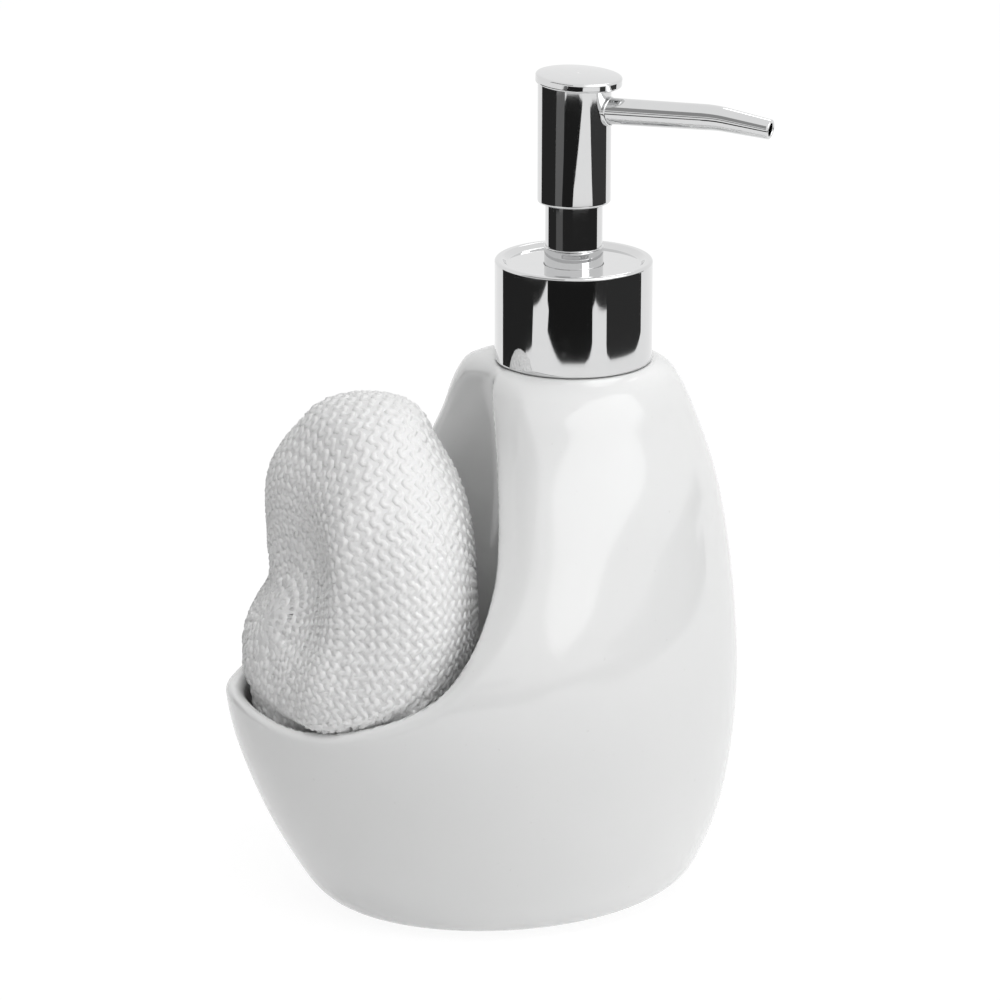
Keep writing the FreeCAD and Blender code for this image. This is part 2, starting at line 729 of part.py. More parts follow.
# Disc: the crowned finger plate, tilted towards the spout, with a spigot in the barrel
disc_edge = "disc_thickness - disc_crown"
disc_plate = turned("disc_plate", [
    ("0", "0 * disc_thickness"),
    ("disc_radius - barrel_rounding", "0 * disc_thickness"),
    ("disc_radius", "barrel_rounding"),
    ("disc_radius", f"{disc_edge} - barrel_rounding / 2"),
    ("disc_radius - barrel_rounding", disc_edge),
    ("disc_radius / 2", "disc_thickness - disc_crown / 4"),
    ("0", "disc_thickness"),
])
disc_spigot = doc.addObject("Part::Cylinder", "disc_spigot")
bind(disc_spigot, "Radius", f"{BARREL_BORE} - core_gap")
bind(disc_spigot, "Height", "disc_spigot_length")
bind(disc_spigot, "Placement.Base.x", "-1 * disc_shift")
bind(disc_spigot, "Placement.Base.z", "-1 * disc_spigot_length")
head_disc = joined("head_disc", disc_plate, disc_spigot)

# Spout: a tapered chromed tube, straight, then bent down and straight again to its open tip
bend_turn = math.radians(value("spout_bend"))
rise_turn = math.radians(value("spout_rise"))


def spout_place(run):
    """Centre and turn of the spout at a length along it from its seat."""
    straight, radius = value("spout_straight"), value("spout_curve")
    turned_by = min(max(run - straight, 0.0) / radius, bend_turn)
    past = max(run - straight - radius * bend_turn, 0.0)
    angle = rise_turn - turned_by
    x = min(run, straight) * math.cos(rise_turn)
    z = min(run, straight) * math.sin(rise_turn)
    x += radius * (math.sin(rise_turn) - math.sin(angle)) + past * math.cos(angle)
    z += radius * (math.cos(angle) - math.cos(rise_turn)) + past * math.sin(angle)
    centre = Vector(value("spout_seat") + x, 0, value(SPOUT_HEIGHT) + z)
    return FreeCAD.Placement(centre, FreeCAD.Rotation(Vector(0, 1, 0), -math.degrees(angle)))


def spout_loft(inset):
    """The spout's taper, taken in by a wall."""
    bend_start = value("spout_straight")
    bend_end = bend_start + value("spout_curve") * bend_turn
    end = bend_end + value("spout_end")
    steps = 5
    runs = [bend_start + (bend_end - bend_start) * i / steps for i in range(steps + 1)]
    runs = [0] + runs + [end]
    root, middle, tip = (value(f"spout_{part}_radius") - inset for part in ("root", "bend", "tip"))
    wires = []
    for run in runs:
        if run <= bend_start:
            radius = root + (middle - root) * run / bend_start
        else:
            radius = middle + (tip - middle) * (run - bend_start) / (end - bend_start)
        section = oval(0, radius, radius, 0, math.pi / 4)
        section.rotate(Vector(), Vector(0, 1, 0), 90)
        section.Placement = spout_place(run).multiply(section.Placement)
        wires.append(section)
    return Part.makeLoft(wires, True, True)


spout = doc.addObject("Part::Feature", "spout")
spout.Shape = spout_loft(0).cut(spout_loft(value("spout_wall")))
ferrule_bar = bar(
    "ferrule_bar",
    "ferrule_radius",
    "spout_seat",
    "barrel_radius + ferrule_length - spout_seat",
    SPOUT_HEIGHT,
)
ferrule_bore = doc.addObject("Part::Cylinder", "ferrule_seat")
bind(ferrule_bore, "Radius", "barrel_radius")
bind(ferrule_bore, "Height", "4 * ferrule_radius")
bind(ferrule_bore, "Placement.Base.z", f"{SPOUT_HEIGHT} - 2 * ferrule_radius")
ferrule_hole = bar(
    "ferrule_hole", "spout_root_radius + spout_play", "spout_seat", "2 * barrel_radius", SPOUT_HEIGHT
)
spout_ferrule = cut("spout_ferrule", ferrule_bar, joined("ferrule_cuts", ferrule_bore, ferrule_hole))

# Scrubber pad: a puffy knitted puck standing on edge, with a gathered dimple in its left face.
# Rows hold shares of pad_height, of pad_thickness (to the left of the pad's middle, half
# thickness) and of pad_width.
pad_section_shares = [
    (0.0, 0.033, 0.07, 0.09),
    (0.03, 0.07, 0.20, 0.20),
    (0.09, 0.105, 0.305, 0.32),
    (0.21, 0.124, 0.366, 0.43),
    (0.35, 0.124, 0.431, 0.485),
    (0.47, 0.066, 0.51, 0.50),
    (0.61, 0.0, 0.461, 0.50),
    (0.75, 0.008, 0.456, 0.455),
    (0.865, 0.025, 0.40, 0.36),
    (0.95, 0.011, 0.287, 0.23),
    (0.988, -0.02, 0.163, 0.125),
    (1.0, -0.04, 0.05, 0.04),
]
pad_low = value("pocket_floor + pad_gap")
pad_height, pad_thickness, pad_width = (value(f"pad_{n}") for n in ("height", "thickness", "width"))
pad_wires = []
for rise, left_share, across_share, deep_share in pad_section_shares:
    middle = -value("pad_offset") - left_share * pad_thickness
    across, deep = across_share * pad_thickness, deep_share * pad_width
    pad_wires.append(oval(middle, across, deep, pad_low + rise * pad_height, math.pi / 4))
pad_blank = Part.makeLoft(pad_wires, True, False)
clearance = value("pad_clearance")
pocket_space = inside_loft(value("pocket_floor") + clearance, wall + clearance, math.pi / 4 + 0.1)
above_rim = rim.translated(Vector(0, 0, clearance))
pocket_walls = outside_loft(1).cut(pocket_space).cut(above_rim)
dimple_rise_share, dimple_face_share = 0.55, 0.55
dimple_height = pad_low + dimple_rise_share * pad_height
dimple_radius = 2 * value("pad_dimple")
dimple_face = -value("pad_offset") - dimple_face_share * pad_thickness
dimple_centre = Vector(dimple_face - dimple_radius + value("pad_dimple"), 0, dimple_height)
scrubber_pad = doc.addObject("Part::Feature", "scrubber_pad")
scrubber_pad.Shape = pad_blank.cut(pocket_walls).cut(Part.makeSphere(dimple_radius, dimple_centre))

# Scrubber tie: the drawn-up thread that gathers the knitting in the dimple
scrubber_tie = doc.addObject("Part::Torus", "scrubber_tie")
bind(scrubber_tie, "Radius1", "tie_radius")
bind(scrubber_tie, "Radius2", "tie_wire / 2")
tie_reach = dimple_radius - value("tie_wire / 2 + turning_gap")
tie_depth = math.sqrt(tie_reach**2 - value("tie_radius") ** 2)
tie_place = dimple_centre + Vector(tie_depth, 0, 0)
scrubber_tie.Placement = FreeCAD.Placement(tie_place, FreeCAD.Rotation(Vector(0, 1, 0), 90))

# The head's pieces turn to the spout's direction, and the disc also leans towards it
swing = FreeCAD.Rotation(Vector(0, 0, 1), value("spout_azimuth"))
for piece in (head_core, head_barrel, spout, spout_ferrule):
    piece.Placement = FreeCAD.Placement(Vector(), swing)
disc_rotation = swing.multiply(lean)
disc_centre = Vector(0, 0, value(BARREL_TOP)) + disc_rotation.multVec(Vector(value("disc_shift"), 0, 0))
head_disc.Placement = FreeCAD.Placement(disc_centre, disc_rotation)
doc.recompute()

SUB_PARTS = [
    ceramic_body, neck_insert, neck_gasket, inner_cap, collar_shell, guide_tube, pump_housing,
    stem_bushing, ball_retainer, inlet_ball, dip_tube, return_spring, piston_seal, piston_plug,
    stem, head_core, head_barrel, head_disc, spout, spout_ferrule, scrubber_pad, scrubber_tie,
]
for item in doc.Objects:
    if "Invalid" in item.State or "Error" in item.State:
        raise RuntimeError(f"{item.Label} failed to compute")
for piece in SUB_PARTS:
    if piece.Shape.isNull() or not piece.Shape.isValid() or not piece.Shape.Solids:
        raise RuntimeError(f"{piece.Label} has no valid solid")
for piece in SUB_PARTS:
    piece.Shape.exportStep(f"parts/{piece.Label}.step")
print("sub-parts written:", len(SUB_PARTS))
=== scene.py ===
import bpy
import json
import math
import numpy as np
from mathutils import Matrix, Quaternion, Vector


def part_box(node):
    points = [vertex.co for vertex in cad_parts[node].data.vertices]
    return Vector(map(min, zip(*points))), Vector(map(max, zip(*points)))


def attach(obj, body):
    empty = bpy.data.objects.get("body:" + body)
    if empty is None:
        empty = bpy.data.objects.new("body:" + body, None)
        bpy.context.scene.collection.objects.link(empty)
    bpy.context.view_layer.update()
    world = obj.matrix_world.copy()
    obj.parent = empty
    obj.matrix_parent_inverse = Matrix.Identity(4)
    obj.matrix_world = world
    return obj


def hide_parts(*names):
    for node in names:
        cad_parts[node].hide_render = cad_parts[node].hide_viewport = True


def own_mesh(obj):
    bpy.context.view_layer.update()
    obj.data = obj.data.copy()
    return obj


# A soap pump caddy: a glazed ceramic bottle with an open pocket for a knitted scrubber, and a
# chromed lotion pump screwed on its neck. Sizes are in millimetres until a mesh is made.
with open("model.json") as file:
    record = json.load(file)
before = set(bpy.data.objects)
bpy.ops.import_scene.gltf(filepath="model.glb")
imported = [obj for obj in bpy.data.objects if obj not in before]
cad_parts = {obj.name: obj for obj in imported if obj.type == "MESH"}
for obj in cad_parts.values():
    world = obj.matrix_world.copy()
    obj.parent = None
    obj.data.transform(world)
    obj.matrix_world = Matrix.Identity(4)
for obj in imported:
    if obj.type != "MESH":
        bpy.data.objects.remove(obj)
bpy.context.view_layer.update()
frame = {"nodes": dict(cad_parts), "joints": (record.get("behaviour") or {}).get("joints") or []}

# The picture: a long lens, 19 degrees to the left of the front and 18 degrees above it, so that
# the pocket's mouth and the front of the bottle both show.
CAMERA_PLACE = (-0.31355, -0.86148, 0.37965)
CAMERA_TURN, CAMERA_DOWN = math.radians(19.012), math.radians(17.694)
camera_data = bpy.data.cameras.new("picture_camera")
camera_data.sensor_width, camera_data.lens = 36.0, 158.735
camera = bpy.data.objects.new("picture_camera", camera_data)
camera.location = CAMERA_PLACE
camera.rotation_euler = (math.pi / 2 - CAMERA_DOWN, 0.0, -CAMERA_TURN)
bpy.context.scene.collection.objects.link(camera)
bpy.context.scene.camera = camera
bpy.context.scene.view_settings.view_transform = "Standard"


# Studio: a white room, dimmer at the left, and a pale floor that keeps the object's soft shadow.
# The camera and reflections see both as plain white.
class Value:
    """A socket in a node tree: arithmetic on it adds the Math nodes."""

    def __init__(self, tree, socket):
        self.tree, self.socket = tree, socket

    def math(self, operation, *others):
        node = self.tree.nodes.new("ShaderNodeMath")
        node.operation = operation
        for slot, item in zip(node.inputs, (self, *others)):
            plug(self.tree, slot, item)
        return Value(self.tree, node.outputs[0])

    def __add__(self, other):
        return self.math("ADD", other)

    def __mul__(self, other):
        return self.math("MULTIPLY", other)

    def __rsub__(self, other):
        return self.math("MULTIPLY", -1.0).math("ADD", other)

    __radd__, __rmul__ = __add__, __mul__


def plug(tree, slot, item):
    """Links a value to a socket, or sets the socket to a plain number or colour."""
    if isinstance(item, Value):
        tree.links.new(item.socket, slot)
    elif isinstance(item, tuple) and len(item) == 3 and slot.type == "RGBA":
        slot.default_value = (*item, 1.0)
    else:
        slot.default_value = item


class Finish:
    """A material or world under construction, made of nodes."""

    def __init__(self, owner):
        owner.use_nodes = True
        self.owner, self.tree = owner, owner.node_tree
        self.tree.nodes.clear()

    def node(self, kind, settings=None, output=0, **sockets):
        """One node: its settings first, then its sockets by name, with _ for a space, or _number."""
        made = self.tree.nodes.new("ShaderNode" + kind)
        for name, setting in (settings or {}).items():
            setattr(made, name, setting)
        for name, item in sockets.items():
            name = name.replace("_", " ")
            plug(self.tree, made.inputs[int(name[1:]) if name[1:].isdigit() else name], item)
        return Value(self.tree, made.outputs[output])

    def place(self):
        """Object coordinates, in metres."""
        return self.node("TexCoord", output=3)

    def noise(self, scale, detail=2.0, at=None, **more):
        """Even noise about a half, finer with a larger scale."""
        at = at or self.place()
        return self.node("TexNoise", Vector=at, Scale=scale, Detail=detail, **more)

    def blend(self, fac, low, high):
        """A mix of two colours."""
        return self.node("Mix", {"data_type": "RGBA"}, 2, _0=fac, _6=low, _7=high)

    def ramp(self, fac, low, high):
        """0 below low, 1 above high, smooth between."""
        smooth = {"interpolation_type": "SMOOTHSTEP"}
        return self.node("MapRange", smooth, _0=fac, _1=low, _2=high)

    def bump(self, height, distance, strength=1.0, **more):
        """A normal from a height, whose full rise is a distance in metres."""
        return self.node("Bump", Strength=strength, Distance=distance, Height=height, **more)

    def close(self, shader):
        """Joins the shader to the output, and gives the finished material or world."""
        kind = "World" if isinstance(self.owner, bpy.types.World) else "Material"
        out = self.tree.nodes.new("ShaderNodeOutput" + kind)
        self.tree.links.new(shader.socket, out.inputs["Surface"])
        return self.owner


def material(name):
    return Finish(bpy.data.materials.new(name))


def seen_rays(look):
    """1 for the rays that show a background, straight or in metal and glass, 0 for the rest."""
    kinds = ("Is Camera Ray", "Is Glossy Ray", "Is Transmission Ray")
    camera_ray, glossy, through = (look.node("LightPath", output=kind) for kind in kinds)
    return camera_ray.math("MAXIMUM", glossy).math("MAXIMUM", through)


def picture_direction(side, rise):
    """A unit direction from the object, by its angle to the right of the camera and upwards."""
    turn = -math.pi / 2 - CAMERA_TURN + math.radians(side)
    rise = math.radians(rise)
    return Vector((math.cos(turn) * math.cos(rise), math.sin(turn) * math.cos(rise), math.sin(rise)))


world = bpy.data.worlds.new("studio")
bpy.context.scene.world = world
look = Finish(world)
AMBIENT, AMBIENT_LEAN = 0.28, 0.24
skyward = look.node("TexCoord", output=0)
to_right = tuple(picture_direction(90, 0))
lean = look.node("VectorMath", {"operation": "DOT_PRODUCT"}, 1, _0=skyward, _1=to_right)
ambient = lean * AMBIENT_LEAN + AMBIENT
seen = seen_rays(look)
strength = seen + ambient * (1.0 - seen)
look.close(look.node("Background", Color=(1.0, 1.0, 1.0), Strength=strength))

floor_look = material("pale_floor")
floor_white = floor_look.node("BsdfDiffuse", Color=(0.93, 0.93, 0.93))
FLOOR_GLOW, FLOOR_GLOW_SHARE, FLOOR_HALF = 1.07, 0.87, 6.0
floor_glow = floor_look.node("Emission", Color=(1.0, 1.0, 1.0), Strength=FLOOR_GLOW)
floor_share = seen_rays(floor_look) * FLOOR_GLOW_SHARE
floor_mix = floor_look.node("MixShader", Fac=floor_share, _1=floor_white, _2=floor_glow)
floor_mesh = bpy.data.meshes.new("floor")
floor_ways = ((-1, -1), (1, -1), (1, 1), (-1, 1))
floor_corners = [(x * FLOOR_HALF, y * FLOOR_HALF, 0) for x, y in floor_ways]
floor_mesh.from_pydata(floor_corners, [], [(0, 1, 2, 3)])
floor_mesh.materials.append(floor_look.close(floor_mix))
floor = bpy.data.objects.new("floor", floor_mesh)
bpy.context.scene.collection.objects.link(floor)


# Studio light: four soft lamps at the right, in front, above and behind give the shading. Two
# more are seen only by reflections: the window on the glaze, and a small gleam behind.
def softbox(name, side, rise, watts, distance=1.3, width=0.9, height=0.8, tilt=0.0):
    """A flat lamp that faces the object from degrees right of the camera and up."""
    light = bpy.data.lights.new(name, "AREA")
    light.shape, light.size, light.size_y, light.energy = "RECTANGLE", width, height, watts
    lamp = bpy.data.objects.new(name, light)
    middle = Vector((0.0, 0.0, 0.09))
    lamp.location = middle + picture_direction(side, rise) * distance
    aim = (lamp.location - middle).to_track_quat("Z", "Y")
    lamp.rotation_euler = (aim @ Quaternion((0.0, 0.0, 1.0), math.radians(tilt))).to_euler()
    bpy.context.scene.collection.objects.link(lamp)
    return lamp


key = softbox("key_softbox", 80, 20, 3.2)
front = softbox("front_softbox", 40, 28, 0.9)
top = softbox("top_softbox", -8, 66, 8.7)
back = softbox("back_softbox", 168, 30, 2.6)
for lamp in (key, front, top, back):
    lamp.visible_glossy = False
gleam = softbox("glaze_gleam", 54, 37, 6.4, distance=1.2, width=1.12, height=0.92, tilt=13)
small = softbox("back_gleam", 162, 46, 0.35, distance=1.1, width=0.25, height=0.16)
gleam.visible_diffuse = small.visible_diffuse = False

# Dark cards round the front that only reflections see, as chrome needs. Each card is drawn by
# what it shows on the chrome: a height there, and the angles, right of the camera, between which
# that height reflects black.
MM = 0.001
CARD_RADIUS, CARD_STEPS = 330.0, 16
CAMERA_REACH = math.hypot(CAMERA_PLACE[0], CAMERA_PLACE[1]) / MM


def mirror_height(height):
    """Height on a card that a height on upright chrome reflects to the camera."""
    return height - CARD_RADIUS * (CAMERA_PLACE[2] / MM - height) / CAMERA_REACH


def card(name, tone, rows):
    """A dark card bent round the object, seen by reflections alone."""
    corners, faces = [], []
    for height, left, right in rows:
        for i in range(CARD_STEPS + 1):
            at = picture_direction(left + (right - left) * i / CARD_STEPS, 0) * CARD_RADIUS * MM
            corners.append((at.x, at.y, mirror_height(height) * MM))
    for row in range(len(rows) - 1):
        for i in range(CARD_STEPS):
            first = row * (CARD_STEPS + 1) + i
            faces.append((first, first + 1, first + CARD_STEPS + 2, first + CARD_STEPS + 1))
    mesh = bpy.data.meshes.new(name)
    mesh.from_pydata(corners, [], faces)
    look = material(name + "_black")
    mesh.materials.append(look.close(look.node("Emission", Color=(tone, tone, tone), Strength=1.0)))
    board = bpy.data.objects.new(name, mesh)
    bpy.context.scene.collection.objects.link(board)
    board.visible_camera = board.visible_diffuse = board.visible_shadow = False
    board.visible_transmission = board.visible_volume_scatter = False


card("collar_left_card", 0.022, [
    (120.5, -124, -102), (123.5, -124, -97), (126.5, -124, -72), (128, -124, -62),
    (137, -124, -60), (143, -124, -38),
])
card("collar_middle_card", 0.013, [
    (125.2, -16, 15), (126.6, -25, 22), (129.5, -33, 26), (132, -38, 26), (137, -36, 26),
    (138.5, -38, 30), (143, -38, 30),
])
card("collar_right_card", 0.035, [
    (125.4, 54, 96), (126.8, 48, 107), (129, 47, 113), (137, 47, 113), (138.5, 30, 113),
    (143, 30, 113),
])
card("tube_left_card", 0.025, [(143, -124, -76), (154, -124, -76)])
card("tube_dim_card", 0.11, [(143, -76, -46), (154, -76, -46)])
card("tube_right_card", 0.022, [(143, -46, 106), (155.5, -46, 106)])
card("barrel_left_card", 0.025, [(154, -124, -62), (179, -122, -58), (184, -122, -58)])
card("barrel_dim_card", 0.15, [
    (154, -62, -40), (166, -60, -34), (179, -58, -31), (181, -58, -30),
])
card("barrel_middle_card", 0.016, [
    (154, -40, -6), (160, -38, -2), (166, -34, 8), (175, -33, 20), (178.5, -31, 24),
    (180, -24, 12),
])
card("barrel_right_card", 0.05, [
    (154, 60, 118), (164, 54, 118), (177, 48, 118), (178, 56, 110),
])
card("spout_low_card", 0.22, [(232, -80, -14), (262, -80, -14)])
card("spout_high_card", 0.34, [(285, -80, -14), (450, -80, -14)])


# Ceramic body: slip-cast stoneware, dipped in a thick clear-white glaze that rounds every edge,
# and left bare under the foot. It is a distance field of ovals, cut by the pocket and its rim,
# with rounded edges, and a net of squares is laid over it.
def low_high(node):
    """Lowest and highest corner of a CAD node, in millimetres."""
    return [Vector(corner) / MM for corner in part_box(node)]


ceramic_low, ceramic_high = low_high("ceramic_body")
BODY_HEIGHT = ceramic_high.z - ceramic_low.z
HALF_LENGTH, HALF_DEPTH, POCKET_BACK = 57.0, 46.7, 14.5
WALL, BASE, POCKET_FLOOR, SHOULDER, MOUTH = 4.0, 5.5, 9.0, 6.0, 12.6
# The bottle's height, then its right, left and front reach there
body_shares = [
    (0.0, 0.343, 0.935, 0.640), (0.021, 0.426, 1.000, 0.720), (0.067, 0.509, 1.081, 0.795),
    (0.152, 0.575, 1.182, 0.880), (0.270, 0.621, 1.289, 0.955), (0.404, 0.638, 1.361, 1.000),
    (0.539, 0.626, 1.319, 0.972), (0.673, 0.595, 1.114, 0.857), (0.800, 0.540, 0.851, 0.724),
    (0.909, 0.460, 0.637, 0.589), (0.981, 0.382, 0.482, 0.486), (1.0, 0.351, 0.430, 0.441),
]
# The pocket's back wall: a height, its right edge, how far left of that the centre of its oval
# lies, and its half width
back_shares = [
    (0.042, 2.62, 0.211, 0.878), (0.075, 2.48, 0.246, 0.878), (0.101, 2.07, 0.333, 0.878),
    (0.151, 1.69, 0.412, 0.878), (0.209, 1.41, 0.465, 0.878), (0.293, 1.17, 0.509, 0.878),
    (0.419, 1.03, 0.526, 0.878), (0.536, 1.00, 0.535, 0.852), (0.603, 0.99, 0.502, 0.792),
    (0.670, 1.00, 0.456, 0.707), (0.737, 1.03, 0.386, 0.595), (0.812, 1.08, 0.321, 0.460),
    (0.905, 1.21, 0.235, 0.289), (0.955, 1.32, 0.189, 0.214), (1.005, 1.44, 0.142, 0.161),
    (1.055, 1.55, 0.114, 0.128),
]
# The pocket's rim, seen from the front: how far out, and how high
rim_shares = [
    (1.0, 0.503), (0.884, 0.454), (0.826, 0.432), (0.768, 0.418), (0.696, 0.413), (0.595, 0.427),
    (0.479, 0.453), (0.378, 0.482), (0.291, 0.520), (0.226, 0.564), (0.175, 0.613),
    (0.132, 0.675), (0.097, 0.741), (0.068, 0.817), (0.049, 0.871), (0.031, 0.930),
    (0.013, 0.980), (0.0, 1.039),
]


class Curve:
    """A smooth curve through rows of numbers, with its slope."""

    def __init__(self, at, rows):
        self.at, self.rows = np.asarray(at, float), np.asarray(rows, float)
        step, count = np.diff(self.at), len(self.at)
        grid, right = np.eye(count), np.zeros(self.rows.shape)
        for i in range(1, count - 1):
            grid[i, i - 1 : i + 2] = step[i - 1], 2 * (step[i - 1] + step[i]), step[i]
            rise = (self.rows[i + 1] - self.rows[i]) / step[i]
            right[i] = 6 * (rise - (self.rows[i] - self.rows[i - 1]) / step[i - 1])
        self.bend = np.linalg.solve(grid, right)

    def __call__(self, t):
        t = np.clip(t, self.at[0], self.at[-1])
        i = np.clip(np.searchsorted(self.at, t) - 1, 0, len(self.at) - 2)
        step = (self.at[i + 1] - self.at[i])[..., None]
        low = (self.at[i + 1] - t)[..., None] / step
        high = 1 - low
        bend = (low**3 - low) * self.bend[i] + (high**3 - high) * self.bend[i + 1]
        turn = (1 - 3 * low**2) * self.bend[i] + (3 * high**2 - 1) * self.bend[i + 1]
        value = low * self.rows[i] + high * self.rows[i + 1] + bend * step**2 / 6
        slope = (self.rows[i + 1] - self.rows[i]) / step + turn * step / 6
        return np.moveaxis(value, -1, 0), np.moveaxis(slope, -1, 0)


body_rows, back_rows = np.array(body_shares), np.array(back_shares)
body_sizes = body_rows[:, 1:] * [HALF_LENGTH, HALF_LENGTH, HALF_DEPTH]
body_curve = Curve(body_rows[:, 0] * BODY_HEIGHT, body_sizes)
back_deep = -back_rows[:, 1] * POCKET_BACK
back_middle = back_deep - back_rows[:, 2] * HALF_LENGTH
back_half = back_rows[:, 3] * HALF_DEPTH
back_curve = Curve(back_rows[:, 0] * BODY_HEIGHT, np.stack([back_deep, back_middle, back_half], 1))
RIM_NEAR_SHARE, RIM_FAR_SHARE, RIM_LINE_POINTS = 1.44, 1.58, 400
rim_near, rim_far = RIM_NEAR_SHARE * POCKET_BACK, RIM_FAR_SHARE * HALF_LENGTH
rim_points = [(-rim_near - (rim_far - rim_near) * out, rise * BODY_HEIGHT) for out, rise in rim_shares]
rim_curve = Curve(range(len(rim_points)), rim_points)
rim_line = rim_curve(np.linspace(0, len(rim_points) - 1, RIM_LINE_POINTS))[0].T


def oval_distance(x, y, middle, across, deep, slopes):
    """Distance from an oval wall whose sizes change with height, below zero inside."""
    u, v = (x - middle) / across, y / deep
    reach = np.hypot(u, v) + 1e-6
    rise = -(u * slopes[0] / across + u * u * slopes[1] / across + v * v * slopes[2] / deep) / reach
    steep = np.sqrt((u / (across * reach)) ** 2 + (v / (deep * reach)) ** 2 + rise**2)
    return (reach - 1) / steep


def outside_distance(p):
    """Distance from the bottle's outside, as if it had no pocket."""
    (right, left, deep), (d_right, d_left, d_deep) = body_curve(p[2])
    slopes = (d_right - d_left) / 2, (d_right + d_left) / 2, d_deep
    return oval_distance(p[0], p[1], (right - left) / 2, (right + left) / 2, deep, slopes)


def back_distance(p):
    """Distance from the pocket's back wall, below zero on the pocket's side."""
    (edge, middle, deep), (d_edge, d_middle, d_deep) = back_curve(p[2])
    slopes = d_middle, d_edge - d_middle, d_deep
    return oval_distance(np.maximum(p[0], middle), p[1], middle, edge - middle, deep, slopes)


RIM_STEP = 0.5
rim_x, rim_z = np.arange(-95, -8, RIM_STEP), np.arange(40, 132, RIM_STEP)


def rim_table():
    """Distance from the rim's line, above it more than zero, on a grid seen from the front."""
    x, z = np.meshgrid(rim_x, rim_z, indexing="ij")
    start, run = rim_line[:-1], np.diff(rim_line, axis=0)
    from_x, from_z = x[..., None] - start[:, 0], z[..., None] - start[:, 1]
    along = np.clip((from_x * run[:, 0] + from_z * run[:, 1]) / (run**2).sum(1), 0, 1)
    off_x, off_z = from_x - along * run[:, 0], from_z - along * run[:, 1]
    away = off_x**2 + off_z**2
    nearest = away.argmin(-1)[..., None]
    off_x, off_z, away = (np.take_along_axis(a, nearest, -1)[..., 0] for a in (off_x, off_z, away))
    nearest = nearest[..., 0]
    above = run[nearest, 0] * off_z - run[nearest, 1] * off_x > 0
    return np.where(above, 1, -1) * np.sqrt(away)


rim_grid = rim_table()


def rim_distance(p):
    """Distance from the rim's line at points, read from the grid."""
    i = np.clip((p[0] - rim_x[0]) / RIM_STEP, 0, len(rim_x) - 1.001)
    k = np.clip((p[2] - rim_z[0]) / RIM_STEP, 0, len(rim_z) - 1.001)
    i0, k0 = i.astype(int), k.astype(int)
    i, k = i - i0, k - k0
    near = rim_grid[i0, k0] * (1 - k) + rim_grid[i0, k0 + 1] * k
    far = rim_grid[i0 + 1, k0] * (1 - k) + rim_grid[i0 + 1, k0 + 1] * k
    return near * (1 - i) + far * i


def meet(a, b, radius):
    """What two solids share, with a rounded edge."""
    round_part = np.hypot(np.maximum(a + radius, 0), np.maximum(b + radius, 0))
    return np.minimum(np.maximum(a, b), -radius) + round_part


def smooth_step(t, low, high):
    """0 below low, 1 above high, smooth between."""
    t = np.clip((t - low) / (high - low), 0, 1)
    return t * t * (3 - 2 * t)


FOOT_ROUND, LANDING_ROUND, LIP_ROUND, LIP_INNER = 3.0, 2.5, 1.9, 1.7
PILLAR_ROUND, ARCH_ROUND, PILLAR_INNER = 7.4, 4.4, 6.0
PILLAR_FROM, PILLAR_TO, ARCH_FROM, ARCH_TO = 62, 84, 104, 117
POCKET_FLOOR_ROUND, POCKET_BACK_ROUND = 9.0, 5.0
CHAMBER_FLOOR_ROUND, CHAMBER_TOP_ROUND, CHAMBER_SIDE_ROUND = 6.0, 4.0, 3.0


def pocket_distance(p):
    """Distance from the pocket's wall and floor, below zero in the pocket."""
    floor_part = meet(outside_distance(p) + WALL, POCKET_FLOOR - p[2], POCKET_FLOOR_ROUND)
    return meet(floor_part, back_distance(p), POCKET_BACK_ROUND)


def ceramic_distance(p):
    """Distance from the ceramic: the bottle less its pocket, its chamber and its mouth."""
    outer, back, z = outside_distance(p), back_distance(p), p[2]
    solid = meet(outer, -z, FOOT_ROUND)
    solid = meet(solid, z - BODY_HEIGHT, LANDING_ROUND)
    pillar, arch = smooth_step(z, PILLAR_FROM, PILLAR_TO), smooth_step(z, ARCH_FROM, ARCH_TO)
    edge = LIP_ROUND + (PILLAR_ROUND - LIP_ROUND) * pillar - (PILLAR_ROUND - ARCH_ROUND) * arch
    solid = meet(solid, rim_distance(p), edge)
    solid = meet(solid, -pocket_distance(p), LIP_INNER + (PILLAR_INNER - LIP_INNER) * pillar)
    chamber = meet(outer + WALL, BASE - z, CHAMBER_FLOOR_ROUND)
    chamber = meet(chamber, z - BODY_HEIGHT + SHOULDER, CHAMBER_TOP_ROUND)
    chamber = meet(chamber, WALL - back, CHAMBER_SIDE_ROUND)
    chamber = meet(chamber, rim_distance(p) + WALL, CHAMBER_SIDE_ROUND)
    mouth = np.maximum(np.hypot(p[0], p[1]) - MOUTH, BODY_HEIGHT - 2 * SHOULDER - z)
    return np.maximum(np.maximum(solid, -chamber), -mouth)


NET_STEP, NET_MARGIN, NET_ROUNDS, LEAST_SLOPE = 1.25, 3.0, 4, 0.3


